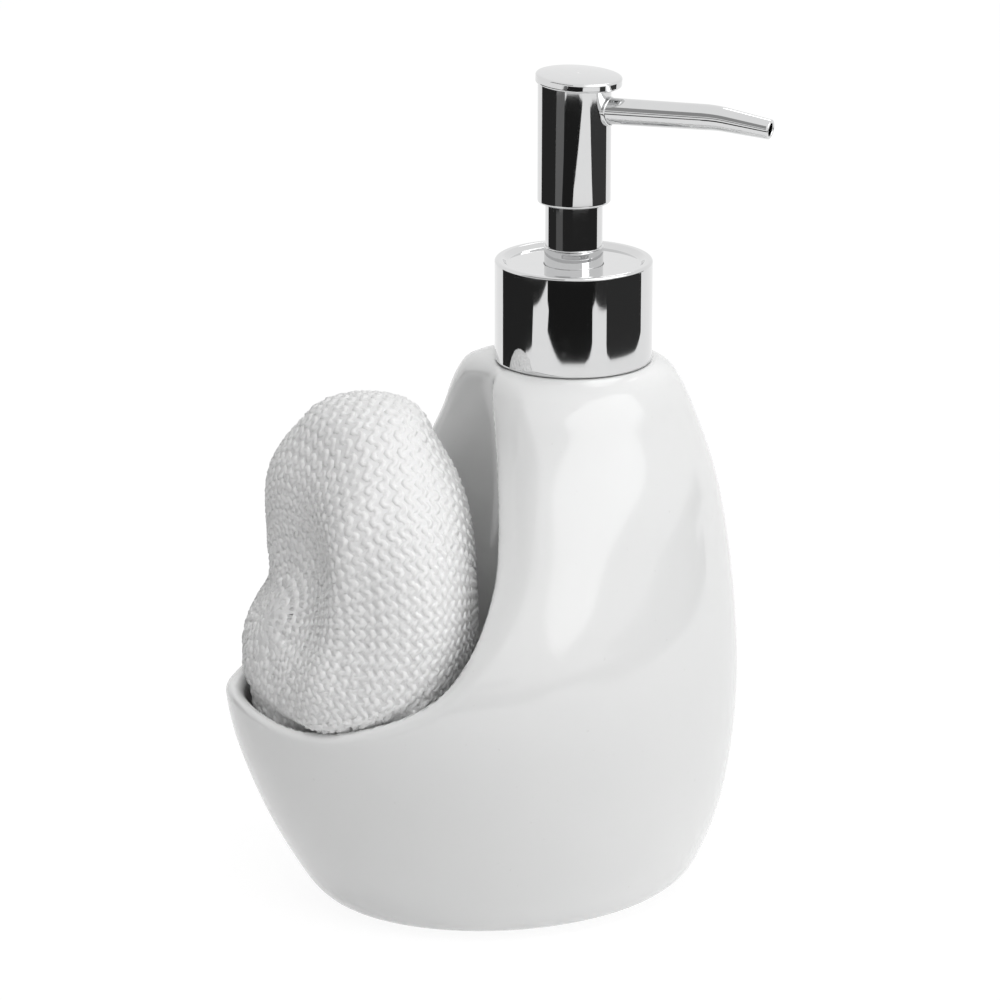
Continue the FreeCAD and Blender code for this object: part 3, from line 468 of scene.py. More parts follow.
def net_of(distance, low, high, step):
    """A closed mesh of squares over the zero surface of a distance field."""
    axes = [np.arange(a, b + step, step) for a, b in zip(low, high)]
    field = distance(np.meshgrid(*axes, indexing="ij"))
    cells = np.array(field.shape) - 1
    total, count = np.zeros((*cells, 3)), np.zeros(cells)
    for axis in range(3):
        others = [a for a in range(3) if a != axis]
        for near in ((0, 0), (0, 1), (1, 0), (1, 1)):
            here, there = [None] * 3, [None] * 3
            here[axis], there[axis] = slice(0, -1), slice(1, None)
            for other, shift in zip(others, near):
                here[other] = there[other] = slice(shift, cells[other] + shift)
            a, b = field[tuple(here)], field[tuple(there)]
            cross = (a < 0) != (b < 0)
            total[..., axis] += np.where(cross, a / np.where(cross, a - b, 1), 0)
            for other, shift in zip(others, near):
                total[..., other] += cross * shift
            count += cross
    used = count > 0
    number = np.full(cells, -1)
    number[used] = np.arange(used.sum())
    points = np.array(low) + (np.argwhere(used) + total[used] / count[used][:, None]) * step
    squares = []
    for axis in range(3):
        others = [(axis + 1) % 3, (axis + 2) % 3]
        here, there = [None] * 3, [None] * 3
        here[axis], there[axis] = slice(0, -1), slice(1, None)
        for other in others:
            here[other] = there[other] = slice(1, cells[other])
        a, b = field[tuple(here)], field[tuple(there)]
        cross = (a < 0) != (b < 0)
        edge = np.argwhere(cross)
        ring = []
        for shift in ((0, 0), (1, 0), (1, 1), (0, 1)):
            cell = edge.copy()
            cell[:, others[0]] += shift[0]
            cell[:, others[1]] += shift[1]
            ring.append(number[tuple(cell.T)])
        ring = np.stack(ring, 1)
        inward = a[cross] >= 0
        ring[inward] = ring[inward][:, ::-1]
        squares.append(ring)
    points = points.T.copy()
    for _ in range(NET_ROUNDS):
        away, slope = distance(points), slope_of(distance, points)
        points -= away * slope / np.maximum((slope**2).sum(0), LEAST_SLOPE)
    return points, np.concatenate(squares)


def slope_of(distance, points, reach=0.02):
    """The slope of a distance field at points, which is the normal of its surface there."""
    rises = [distance(points + step) - distance(points - step) for step in np.eye(3)[..., None] * reach]
    return np.array(rises) / (2 * reach)


def mesh_piece(name, points, faces, finish, normals=None):
    """A smooth object from points in millimetres and faces."""
    mesh = bpy.data.meshes.new(name)
    mesh.from_pydata((np.asarray(points) * MM).tolist(), [], [tuple(face) for face in faces])
    mesh.shade_smooth()
    if normals is not None:
        mesh.normals_split_custom_set_from_vertices(normals)
    mesh.materials.append(finish)
    piece = bpy.data.objects.new(name, mesh)
    bpy.context.scene.collection.objects.link(piece)
    return piece


net_low = np.array(ceramic_low) - NET_MARGIN
net_high = np.array(ceramic_high) + NET_MARGIN
ceramic_points, ceramic_squares = net_of(ceramic_distance, net_low, net_high, NET_STEP)
ceramic_points = np.clip(ceramic_points, np.array(ceramic_low)[:, None], np.array(ceramic_high)[:, None])
ceramic_normals = slope_of(ceramic_distance, ceramic_points).T
ceramic_normals /= np.linalg.norm(ceramic_normals, axis=1)[:, None]

look = material("white_glaze")
height = look.node("SeparateXYZ", output=2, Vector=look.place())
bare = 1.0 - look.ramp(height, 0.0003, 0.0009)
pooling = look.noise(26.0, 3.0)
speck = look.ramp(look.noise(900.0, 1.0), 0.76, 0.80)
glaze_colour = look.blend(pooling, (0.865, 0.872, 0.872), (0.89, 0.89, 0.885))
glaze_colour = look.blend(speck * 0.10, glaze_colour, (0.45, 0.43, 0.40))
body_colour = look.blend(bare, glaze_colour, (0.72, 0.69, 0.64))
glaze = look.node(
    "BsdfPrincipled",
    Base_Color=body_colour,
    Roughness=bare * 0.6 + (look.noise(300.0, 2.0) * 0.03 + 0.085),
    IOR=1.52,
    Normal=look.bump(look.noise(38.0, 1.0), 0.00012, 0.5),
)
white_glaze = look.close(glaze)
ceramic = mesh_piece("glazed_body", ceramic_points.T, ceramic_squares, white_glaze, ceramic_normals)
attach(ceramic, "caddy")
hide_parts("ceramic_body")


# Neck insert and gasket: a moulded white ring that carries the outside thread, glued in the
# ceramic mouth, and a soft rubber washer that lies on its top.
def moulded(name, colour, roughness, grain=0.00002):
    """Moulded plastic: a fine even grain, with slight flow marks."""
    look = material(name)
    flow = look.noise(60.0, 2.0)
    tint = look.blend(flow, tuple(c * 0.94 for c in colour), colour)
    shader = look.node(
        "BsdfPrincipled",
        Base_Color=tint,
        Roughness=look.noise(700.0, 2.0) * 0.12 + roughness,
        Normal=look.bump(look.noise(1500.0, 2.0), grain, 0.5),
    )
    return look.close(shader)


def dress(node, finish):
    """Gives a CAD node its finish."""
    piece = frame["nodes"][node]
    piece.data.materials.clear()
    piece.data.materials.append(finish)


white_plastic = moulded("white_plastic", (0.80, 0.80, 0.78), 0.34)
dress("neck_insert", white_plastic)
grey_rubber = moulded("grey_rubber", (0.18, 0.18, 0.185), 0.62, 0.00005)
dress("neck_gasket", grey_rubber)

# Closure: a moulded white cap that screws on the neck, pressed in a shell that is spun from
# sheet brass and chromed. The shell's top is dished round the guide tube.
dress("inner_cap", white_plastic)

look = material("chrome_plate")
swirl = look.noise(45.0, 2.0)
haze = look.noise(420.0, 3.0)
chrome_shader = look.node(
    "BsdfPrincipled",
    Base_Color=look.blend(haze, (0.655, 0.66, 0.665), (0.69, 0.69, 0.69)),
    Metallic=1.0,
    Roughness=look.ramp(haze, 0.55, 0.9) * 0.03 + 0.03,
    Normal=look.bump(swirl, 0.00006, 0.35),
)
chrome_plate = look.close(chrome_shader)


def rounded_outline(corners, radii, steps=5):
    """A closed outline of radius and height with its corners rounded."""
    points, count = [], len(corners)
    for i, (corner, radius) in enumerate(zip(corners, radii)):
        corner = Vector(corner)
        before = (Vector(corners[i - 1]) - corner).normalized()
        after = (Vector(corners[(i + 1) % count]) - corner).normalized()
        if radius == 0:
            points.append(tuple(corner))
            continue
        half = before.angle(after) / 2
        middle = corner + (before + after).normalized() * (radius / math.sin(half))
        first = corner + before * (radius / math.tan(half)) - middle
        last = corner + after * (radius / math.tan(half)) - middle
        sweep = first.angle_signed(last)
        for k in range(steps + 1):
            turn = -sweep * k / steps
            x = first.x * math.cos(turn) - first.y * math.sin(turn)
            y = first.x * math.sin(turn) + first.y * math.cos(turn)
            points.append((middle.x + x, middle.y + y))
    return points


EDGE_BAND, MOST_BAND_SHARE = 0.13, 0.15


def turned_points(outline, segments=144):
    """Rings round the axis, with a narrow band at both ends of each long stretch: it keeps the
    normals of the stretch straight, so that its reflections are."""
    banded = []
    for (r, z), (next_r, next_z) in zip(outline, outline[1:] + outline[:1]):
        banded.append((r, z))
        share = EDGE_BAND / max(math.hypot(next_r - r, next_z - z), 1e-6)
        if share < MOST_BAND_SHARE:
            banded += [(r + (next_r - r) * s, z + (next_z - z) * s) for s in (share, 1 - share)]
    rings = []
    for i in range(segments):
        angle = 2 * math.pi * i / segments
        rings += [(r * math.cos(angle), r * math.sin(angle), z) for r, z in banded]
    count = len(banded)
    faces = []
    for i in range(segments):
        here, there = i * count, (i + 1) % segments * count
        for k in range(count):
            after = (k + 1) % count
            faces.append((here + k, there + k, there + after, here + after))
    return np.array(rings), faces


def plain_mesh(piece, modifier):
    """Turns a piece and its modifier into a plain mesh."""
    bpy.context.view_layer.update()
    graph = bpy.context.evaluated_depsgraph_get()
    made = bpy.data.meshes.new_from_object(piece.evaluated_get(graph))
    made.name = piece.name
    piece.modifiers.remove(modifier)
    piece.data = made


def chrome_piece(name, node, body, points, faces):
    """A chromed piece that stands for a CAD node and rides on a body. Its normals are weighted by
    its faces, so that flat and round stretches reflect cleanly."""
    piece = mesh_piece(name, points, faces, chrome_plate)
    weigh = piece.modifiers.new("weigh", "WEIGHTED_NORMAL")
    weigh.keep_sharp, weigh.weight = True, 60
    plain_mesh(piece, weigh)
    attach(piece, body)
    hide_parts(node)


collar_low, collar_high = low_high("collar_shell")
COLLAR_RADIUS, COLLAR_WALL, DISH_RIM, DISH_DEPTH = collar_high.x, 0.9, 1.6, 1.0
GUIDE_RADIUS, BOSS_STEP, BOSS_GAP = 6.15, 0.2, 0.08
boss_radius = GUIDE_RADIUS + BOSS_STEP
collar_outline = rounded_outline(
    [
        (COLLAR_RADIUS - COLLAR_WALL, collar_low.z), (COLLAR_RADIUS, collar_low.z),
        (COLLAR_RADIUS, collar_high.z), (COLLAR_RADIUS - DISH_RIM, collar_high.z),
        (COLLAR_RADIUS - DISH_RIM - DISH_DEPTH, collar_high.z - DISH_DEPTH),
        (boss_radius + BOSS_GAP, collar_high.z - DISH_DEPTH),
        (boss_radius + BOSS_GAP, collar_high.z - DISH_DEPTH - COLLAR_WALL),
        (COLLAR_RADIUS - COLLAR_WALL, collar_high.z - DISH_DEPTH - COLLAR_WALL),
    ],
    [0.1, 0.3, 0.6, 0.5, 0.5, 0.15, 0, 0],
)
chrome_piece("chromed_collar", "collar_shell", "closure", *turned_points(collar_outline, 192))

# Pump engine: moulded white pieces, a rubber piston seal and a milky dip tube, stacked in the
# bottle's neck. The closure clamps the housing's flange on the gasket.
for node in ("pump_housing", "stem_bushing", "ball_retainer", "piston_plug", "stem", "head_core"):
    dress(node, white_plastic)
dress("piston_seal", grey_rubber)
dress("dip_tube", moulded("milky_tube", (0.74, 0.76, 0.76), 0.22))

# Inlet ball and return spring: a steel ball on its seat at the dip tube, and one length of drawn
# steel wire, coiled. The spring stands on the housing's seat under the piston. The real spring gets
# shorter as the head goes down; here its pressed share is worked out, and it keeps its full length.
look = material("drawn_steel")
drawn = look.noise(1.0, 3.0, look.node("Mapping", Vector=look.place(), Scale=(900.0, 900.0, 90.0)))
steel_shader = look.node(
    "BsdfPrincipled",
    Base_Color=look.blend(drawn, (0.50, 0.50, 0.50), (0.62, 0.62, 0.61)),
    Metallic=1.0,
    Roughness=drawn * 0.15 + 0.18,
    Normal=look.bump(drawn, 0.00001, 0.4),
)
drawn_steel = look.close(steel_shader)
dress("inlet_ball", drawn_steel)
dress("return_spring", drawn_steel)
spring_low, spring_high = low_high("return_spring")
stroke = next(joint for joint in frame["joints"] if joint["name"] == "head_press")["range_m"][1] / MM
pressed_share = 1 - stroke / (spring_high.z - spring_low.z)
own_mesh(frame["nodes"]["return_spring"])

# Guide tube: a chromed tube with a flange under the collar and a raised ring where it comes out
# of the collar's dish. It is fixed, and the head slides over it.
guide_low, guide_high = low_high("guide_tube")
GUIDE_WALL, FLANGE_THICKNESS, BOSS_RISE = 1.2, 1.7, 2.9
flange_top, boss_top = guide_low.z + FLANGE_THICKNESS, collar_high.z + BOSS_RISE
guide_outline = rounded_outline(
    [
        (GUIDE_RADIUS - GUIDE_WALL, guide_low.z), (guide_high.x, guide_low.z),
        (guide_high.x, flange_top), (boss_radius, flange_top),
        (boss_radius, boss_top), (GUIDE_RADIUS, boss_top),
        (GUIDE_RADIUS, guide_high.z), (GUIDE_RADIUS - GUIDE_WALL, guide_high.z),
    ],
    [0, 0.2, 0.2, 0, 0.12, 0.05, 0.3, 0.3],
)
chrome_piece("chromed_guide", "guide_tube", "pump", *turned_points(guide_outline))

# Head barrel: a chromed sleeve over the head's moulded core, cut off at a slight slant, so that
# the finger plate on it leans to the spout.
barrel_foot = low_high("head_barrel")[0].z
BARREL_RADIUS, BARREL_WALL, BARREL_LENGTH = 7.85, 1.2, 25.8
BARREL_TOP = barrel_foot + BARREL_LENGTH
SPOUT_TURN, DISC_TILT = math.radians(-42.0), math.radians(3.6)
barrel_outline = rounded_outline(
    [
        (BARREL_RADIUS - BARREL_WALL, barrel_foot), (BARREL_RADIUS, barrel_foot),
        (BARREL_RADIUS, BARREL_TOP), (BARREL_RADIUS - BARREL_WALL, BARREL_TOP),
    ],
    [0.3, 0.45, 0.06, 0.06],
)
barrel_points, barrel_faces = turned_points(barrel_outline)
leaning = barrel_points[:, 0] * math.cos(SPOUT_TURN) + barrel_points[:, 1] * math.sin(SPOUT_TURN)
at_top = barrel_points[:, 2] > BARREL_TOP - 2 * EDGE_BAND
barrel_points[:, 2] -= np.where(at_top, leaning * math.tan(DISC_TILT), 0)
chrome_piece("chromed_barrel", "head_barrel", "head", barrel_points, barrel_faces)


# Finger plate: a crowned disc, turned and chromed, a little wider than the barrel that it closes
# and set forward on it, over the spout.
def to_spout(points, lean=0.0):
    """Leans points about the Y axis and turns them to the spout's direction."""
    points = np.asarray(points, float)
    x = points[:, 0] * math.cos(lean) + points[:, 2] * math.sin(lean)
    z = points[:, 2] * math.cos(lean) - points[:, 0] * math.sin(lean)
    turned_x = x * math.cos(SPOUT_TURN) - points[:, 1] * math.sin(SPOUT_TURN)
    turned_y = x * math.sin(SPOUT_TURN) + points[:, 1] * math.cos(SPOUT_TURN)
    return np.stack([turned_x, turned_y, z], 1)


DISC_RADIUS, DISC_THICKNESS, DISC_CROWN, DISC_SHIFT, DISC_SINK = 9.25, 2.3, 0.4, 0.9, 0.05
CROWN_POWER, INNER_RADIUS, CENTRE, ROUNDED_POINTS = 2.4, 0.4, 0.001, 12
crown = [
    (DISC_RADIUS * share, DISC_THICKNESS - DISC_CROWN * share**CROWN_POWER)
    for share in (0.93, 0.8, 0.65, 0.5, 0.34, 0.18, 0.06)
]
edge_corners = [(DISC_RADIUS, 0.0), (DISC_RADIUS, DISC_THICKNESS - DISC_CROWN)]
edge_corners += [(INNER_RADIUS, DISC_THICKNESS), (INNER_RADIUS, 0.0)]
disc_edge = rounded_outline(edge_corners, [0.35, 0.4, 0, 0])[:ROUNDED_POINTS]
disc_outline = disc_edge + crown + [(CENTRE, DISC_THICKNESS), (CENTRE, 0.0)]
disc_points, disc_faces = turned_points(disc_outline)
disc_points[:, 0] += DISC_SHIFT
disc_points = to_spout(disc_points, DISC_TILT)
disc_points[:, 2] += BARREL_TOP - DISC_SINK
chrome_piece("finger_plate", "head_disc", "head", disc_points, disc_faces)

# Spout: a tapered brass tube, bent a little down near its end and chromed, with a round open
# tip. Its root is pressed in the side of the head.
SPOUT_DROP, SPOUT_SEAT, SPOUT_STRAIGHT, SPOUT_CURVE, SPOUT_END = 5.55, 4.0, 26.0, 30.0, 9.9
SPOUT_RISE, SPOUT_BEND = math.radians(1.5), math.radians(8.5)
SPOUT_RUN = SPOUT_STRAIGHT + SPOUT_CURVE * SPOUT_BEND + SPOUT_END
SPOUT_HEIGHT = BARREL_TOP - SPOUT_DROP
ROOT_RADIUS, BEND_RADIUS, TIP_RADIUS, SPOUT_WALL = 2.85, 2.75, 2.1, 0.7
TIP_ROUND, BORE_BACK, OUTSIDE_RINGS, BORE_RINGS = 0.25, 0.3, 72, 40


def spout_station(run):
    """Place, slope and radius of the spout at a length along it."""
    turned_by = min(max(run - SPOUT_STRAIGHT, 0.0) / SPOUT_CURVE, SPOUT_BEND)
    past = max(run - SPOUT_STRAIGHT - SPOUT_CURVE * SPOUT_BEND, 0.0)
    slope = SPOUT_RISE - turned_by
    x = min(run, SPOUT_STRAIGHT) * math.cos(SPOUT_RISE)
    z = min(run, SPOUT_STRAIGHT) * math.sin(SPOUT_RISE)
    x += SPOUT_CURVE * (math.sin(SPOUT_RISE) - math.sin(slope)) + past * math.cos(slope)
    z += SPOUT_CURVE * (math.cos(slope) - math.cos(SPOUT_RISE)) + past * math.sin(slope)
    taper = [0, SPOUT_STRAIGHT, SPOUT_RUN], [ROOT_RADIUS, BEND_RADIUS, TIP_RADIUS]
    return SPOUT_SEAT + x, SPOUT_HEIGHT + z, slope, float(np.interp(run, *taper))


def spout_mesh(segments=64):
    """The spout's outside, its rounded open tip and its bore, as one closed skin."""
    lip_run = SPOUT_RUN - TIP_ROUND
    outside = [(run, 0.0) for run in np.linspace(0, lip_run, OUTSIDE_RINGS)]
    lip = [
        (lip_run + TIP_ROUND * math.sin(turn), SPOUT_WALL / 2 * (1 - math.cos(turn)))
        for turn in (0.5, 1.0, 1.5, 2.1, 2.6, 3.1)
    ]
    bore = [(run, SPOUT_WALL) for run in np.linspace(SPOUT_RUN - BORE_BACK, 0, BORE_RINGS)]
    points, faces = [], []
    stations = outside + lip + bore
    for run, inset in stations:
        x, z, slope, radius = spout_station(run)
        for i in range(segments):
            angle = 2 * math.pi * i / segments
            out, up = (radius - inset) * math.cos(angle), (radius - inset) * math.sin(angle)
            points.append((x - up * math.sin(slope), out, z + up * math.cos(slope)))
    for ring in range(len(stations)):
        here, there = ring * segments, (ring + 1) % len(stations) * segments
        for i in range(segments):
            j = (i + 1) % segments
            faces.append((here + i, here + j, there + j, there + i))
    return to_spout(points), faces


chrome_piece("spout_tube", "spout", "head", *spout_mesh())

# Spout ferrule: a small chromed ring round the spout's root, bent to the round of the barrel
# that it lies on.
RING_RADIUS, RING_THICKNESS, RING_SINK = 3.15, 0.85, 0.15
ring_corners = [(ROOT_RADIUS, 0.0), (RING_RADIUS, 0.0)]
ring_corners += [(RING_RADIUS, RING_THICKNESS), (ROOT_RADIUS, RING_THICKNESS)]
ferrule_outline = rounded_outline(ring_corners, [0, 0.1, 0.25, 0.0], 4)
ferrule_points, ferrule_faces = turned_points(ferrule_outline, 64)
ferrule_points = ferrule_points[:, [2, 1, 0]] * [1, -1, 1]
ferrule_points[:, 0] += np.sqrt(BARREL_RADIUS**2 - ferrule_points[:, 1] ** 2) - RING_SINK
ferrule_points[:, 2] += SPOUT_HEIGHT
chrome_piece("spout_ring", "spout_ferrule", "head", to_spout(ferrule_points), ferrule_faces)

# Scrubber: a puck of soft filling in a knitted nylon tube, gathered by a thread in the middle of
# each face. It stands on its edge in the pocket, and the pocket's walls press it a little.
PAD_LOW, PAD_HEIGHT, PAD_THICKNESS, PAD_WIDTH, PAD_OFFSET = 9.6, 105.5, 46.0, 72.0, 46.5
PAD_MIDDLE = (-48.0, 0.0, 67.6)
# A height of the puck, then how far left its centre is, its half thickness and its half width
pad_shares = [
    (0.0, 0.033, 0.07, 0.09), (0.03, 0.07, 0.20, 0.20), (0.09, 0.105, 0.305, 0.32),
    (0.21, 0.124, 0.366, 0.41), (0.35, 0.124, 0.431, 0.47), (0.47, 0.066, 0.51, 0.50),
    (0.61, 0.0, 0.461, 0.50), (0.75, 0.008, 0.456, 0.455), (0.865, 0.025, 0.40, 0.36),
    (0.95, 0.011, 0.287, 0.23), (0.988, -0.02, 0.163, 0.125), (1.0, -0.04, 0.05, 0.04),
]
pad_rows = np.array(pad_shares)
pad_sizes = pad_rows[:, 1:] * [-PAD_THICKNESS, PAD_THICKNESS, PAD_WIDTH] - [PAD_OFFSET, 0, 0]
pad_curve = Curve(PAD_LOW + pad_rows[:, 0] * PAD_HEIGHT, pad_sizes)
AROUND, ALONG = 360, 240
POLE_LEAN, REACH_ROUNDS, MOST_REACH = 0.02, 30, 90.0


def pad_form():
    """Points of the puck's surface: from one gathered face, over the edge, to the other."""
    turn = np.arange(AROUND) * 2 * math.pi / AROUND
    lean = np.linspace(POLE_LEAN, math.pi - POLE_LEAN, ALONG)
    ways = np.stack([
        np.repeat(-np.cos(lean)[:, None], AROUND, 1),
        np.sin(lean)[:, None] * np.cos(turn),
        np.sin(lean)[:, None] * np.sin(turn),
    ])
    near, far = np.zeros(ways.shape[1:]), np.full(ways.shape[1:], MOST_REACH)
    middle = np.array(PAD_MIDDLE)[:, None, None]
    for _ in range(REACH_ROUNDS):
        reach = (near + far) / 2
        x, y, z = middle + ways * reach
        (centre, across, deep), _slope = pad_curve(z)
        outside = ((x - centre) / across) ** 2 + (y / deep) ** 2 > 1
        outside |= (z > PAD_LOW + PAD_HEIGHT) | (z < PAD_LOW)
        near, far = np.where(outside, near, reach), np.where(outside, reach, far)
    return middle + ways * near, turn


def blurred(points, rounds):
    """Neighbours averaged, round the puck and along it."""
    for _ in range(rounds):
        points = points * 0.5 + (np.roll(points, 1, 2) + np.roll(points, -1, 2)) / 4
        points[:, 1:-1] = points[:, 1:-1] * 0.5 + (points[:, :-2] + points[:, 2:]) / 4
    return points


def outward(points):
    """Unit normals of the puck's surface."""
    round_it = np.roll(points, -1, 2) - np.roll(points, 1, 2)
    normal = np.cross(round_it, np.gradient(points, axis=1), axis=0)
    return normal / np.linalg.norm(normal, axis=0)


def bell(off, spread):
    """1 at no distance, falling smoothly to nothing past the spread."""
    return np.exp(-((off / spread) ** 2))


# The left face has nine uneven pleats round the thread, a hollow above it, a level crease through
# it, deeper at the far side, and a ridge along its near edge: depths, places and spreads.
SKIN, FACE_FROM, FACE_TO = 0.85, 2, 14
GATHER_DEPTH, GATHER_SPREAD, PLEAT_DEPTH, PLEAT_RADIUS, PLEAT_SPREAD = 0.3, 5, 0.5, 13, 11
HALF_PLEATS, PLEAT_SWAY, PLEAT_SHARPNESS = 4.5, 0.7, 0.6
HOLLOW_DEPTH, HOLLOW_Y, HOLLOW_Z, HOLLOW_WIDE, HOLLOW_HIGH, HOLLOW_CLEAR = 6.2, -8, 20, 13, 21, 12
CREASE_DEPTH, CREASE_Z, CREASE_WAVE, CREASE_WAVE_RUN, CREASE_SPREAD = 1.6, 2, 1.5, 9, 4.5
CREASE_FROM, CREASE_TO, NEAR_CREASE_SHARE = 4, 16, 0.3
RIDGE_HEIGHT, RIDGE_Y, RIDGE_Z, RIDGE_WIDE, RIDGE_HIGH = 2.2, -25.5, 8, 4.5, 36
pad_points, pad_turn = pad_form()
pad_points = blurred(pad_points, 6)
off_y, off_z = pad_points[1] - PAD_MIDDLE[1], pad_points[2] - PAD_MIDDLE[2]
from_tie = np.hypot(off_y, off_z)
left_face = smooth_step(PAD_MIDDLE[0] - pad_points[0], FACE_FROM, FACE_TO)
pleat_turn = HALF_PLEATS * pad_turn + PLEAT_SWAY * np.sin(2 * pad_turn + 0.6) + 0.4
pleats = np.abs(np.sin(pleat_turn)) ** PLEAT_SHARPNESS
gather = GATHER_DEPTH * bell(from_tie, GATHER_SPREAD)
gather += PLEAT_DEPTH * (1 - pleats) * bell(from_tie - PLEAT_RADIUS, PLEAT_SPREAD)
hollow = HOLLOW_DEPTH * bell(off_y - HOLLOW_Y, HOLLOW_WIDE) * bell(off_z - HOLLOW_Z, HOLLOW_HIGH)
hollow *= smooth_step(from_tie, 0, HOLLOW_CLEAR)
crease_line = CREASE_Z + CREASE_WAVE * np.sin(off_y / CREASE_WAVE_RUN)
crease = CREASE_DEPTH * bell(off_z - crease_line, CREASE_SPREAD)
crease *= smooth_step(from_tie, CREASE_FROM, CREASE_TO) * np.where(off_y > 0, 1.0, NEAR_CREASE_SHARE)
ridge = RIDGE_HEIGHT * bell(off_y - RIDGE_Y, RIDGE_WIDE) * bell(off_z - RIDGE_Z, RIDGE_HIGH)
push = gather + hollow + crease - ridge
pad_points = pad_points - outward(pad_points) * (SKIN + push * left_face)
pad_points = blurred(pad_points, 3)


def pocket_room(p):
    """Distance into the pocket, or above its rim, from everything that isn't."""
    return np.maximum(-pocket_distance(p), rim_distance(p))


WALL_GAP, WALL_ROUNDS, LEAST_WALL_SLOPE = 2.3, 5, 0.5


def within_pocket(points, gap):
    """Points drawn in from the pocket's walls, to a gap from them."""
    flat = points.reshape(3, -1).copy()
    for _ in range(WALL_ROUNDS):
        away = pocket_room(flat)
        tight = np.flatnonzero(away < gap)
        slope = slope_of(pocket_room, flat[:, tight])
        steepness = np.maximum((slope**2).sum(0), LEAST_WALL_SLOPE)
        flat[:, tight] += (gap - away[tight]) * slope / steepness
    return flat.reshape(points.shape)


pad_points = within_pocket(pad_points, WALL_GAP)
pad_normals = outward(pad_points)
pad_run = np.cumsum(np.linalg.norm(np.diff(pad_points, axis=1), axis=0), 0)
pad_run = np.concatenate([np.zeros((1, AROUND)), pad_run])
pad_even = np.zeros((6, ALONG, AROUND))
for k in range(AROUND):
    even = np.linspace(0, pad_run[-1, k], ALONG)
    for axis in range(3):
        pad_even[axis, :, k] = np.interp(even, pad_run[:, k], pad_points[axis, :, k])
        pad_even[axis + 3, :, k] = np.interp(even, pad_run[:, k], pad_normals[axis, :, k])


def on_pad(share, turn):
    """Point and normal of the puck at shares of its run from face to face, and at turns."""
    i = np.clip(share * (ALONG - 1), 0, ALONG - 1.001)
    k = turn / (2 * math.pi) * AROUND
    i0, k0 = np.floor(i).astype(int), np.floor(k).astype(int)
    i, k = i - i0, k - k0
    k0, k1 = k0 % AROUND, (k0 + 1) % AROUND
    value = (pad_even[:, i0, k0] * (1 - k) + pad_even[:, i0, k1] * k) * (1 - i)
    value += (pad_even[:, i0 + 1, k0] * (1 - k) + pad_even[:, i0 + 1, k1] * k) * i
    return value[:3], value[3:]


# Filling: soft nylon floss that shows between the loops. It has the puck's form, closed at both
# faces, and stands out into the loops where the pocket doesn't press it.
BODY_SKIP, FILLING_SWELL, SWELL_FROM, SWELL_TO, TIE_SWELL = 2, 0.6, 22, 48, 0.3
body_swell = FILLING_SWELL * smooth_step(pad_points[2], SWELL_FROM, SWELL_TO)
body_swell += TIE_SWELL * bell(from_tie, GATHER_SPREAD) * left_face
body_grid = (pad_points + pad_normals * body_swell)[:, ::BODY_SKIP, ::BODY_SKIP]
rows, columns = body_grid.shape[1:]
poles = body_grid[:, [0, -1]].mean(2).T
body_points = np.concatenate([body_grid.reshape(3, -1).T, poles])
body_faces = []
for k in range(columns):
    after, last = (k + 1) % columns, (rows - 1) * columns
    for i in range(rows - 1):
        here, there = i * columns, (i + 1) * columns
        body_faces.append((here + k, here + after, there + after, there + k))
    body_faces.append((rows * columns, after, k))
    body_faces.append((rows * columns + 1, last + k, last + after))

look = material("nylon_filling")
fluff = look.noise(900.0, 3.0)
filling = look.node(
    "BsdfPrincipled",
    Base_Color=look.blend(fluff, (0.86, 0.86, 0.86), (0.92, 0.92, 0.92)),
    Roughness=fluff * 0.2 + 0.7,
    Normal=look.bump(fluff, 0.0002, 0.6),
)
nylon_filling = look.close(filling)

# Knitting: a tube of white nylon yarn over the filling, gathered at both faces. Each course is
# one yarn that runs round the puck in loops, which lie over the next course's.
look = material("nylon_yarn")
strands = look.noise(2600.0, 2.0)
shade = look.noise(70.0, 2.0)
yarn_shader = look.node(
    "BsdfPrincipled",
    Base_Color=look.blend(shade, (0.905, 0.905, 0.905), (0.945, 0.945, 0.94)),
    Roughness=strands * 0.25 + 0.45,
    Sheen_Weight=0.15,
    Normal=look.bump(strands, 0.00006, 0.5),
)
nylon_yarn = look.close(yarn_shader)

COURSES, WALES, STEPS, GIRTH_POINTS, LEAST_WALE, YARN_SIDES = 38, 74, 12, 90, 1.6, 5
YARN_RADIUS, LOOP_HEIGHT, LOOP_SWELL, LOOP_DEPTH = 0.92, 0.80, 0.60, -0.25
TURN_WOBBLE, HEIGHT_WOBBLE = 0.25, 0.06
dice = np.random.default_rng(7)
yarn_points, yarn_edges, start = [], [], 0
for course in range(1, COURSES - 1):
    middle_share = (course + 0.5) / COURSES
    girth_turn = np.arange(GIRTH_POINTS) * 2 * math.pi / GIRTH_POINTS
    line, _normals = on_pad(np.full(GIRTH_POINTS, middle_share), girth_turn)
    girth = np.linalg.norm(np.roll(line, -1, 1) - line, axis=0).sum()
    fewer = next(part for part in (1, 2, 4, 8) if girth * part > LEAST_WALE * WALES or part == 8)
    wales = WALES // fewer
    count = wales * STEPS
    run = np.arange(count) * 2 * math.pi / STEPS
    wobble = dice.normal(0, 1, wales + 1)
    wobble[-1] = wobble[0]
    wobble = np.interp(run, np.arange(wales + 1) * 2 * math.pi, wobble)
    turn = (run + LOOP_SWELL * np.sin(2 * run) + TURN_WOBBLE * wobble) / wales
    share = middle_share + (LOOP_HEIGHT * np.cos(run) + HEIGHT_WOBBLE * wobble) / COURSES
    place, normal = on_pad(share, turn)
    place = place - normal * LOOP_DEPTH * np.cos(2 * run)
    yarn_points.append(place.T)
    yarn_edges += [(start + i, start + (i + 1) % count) for i in range(count)]
    start += count

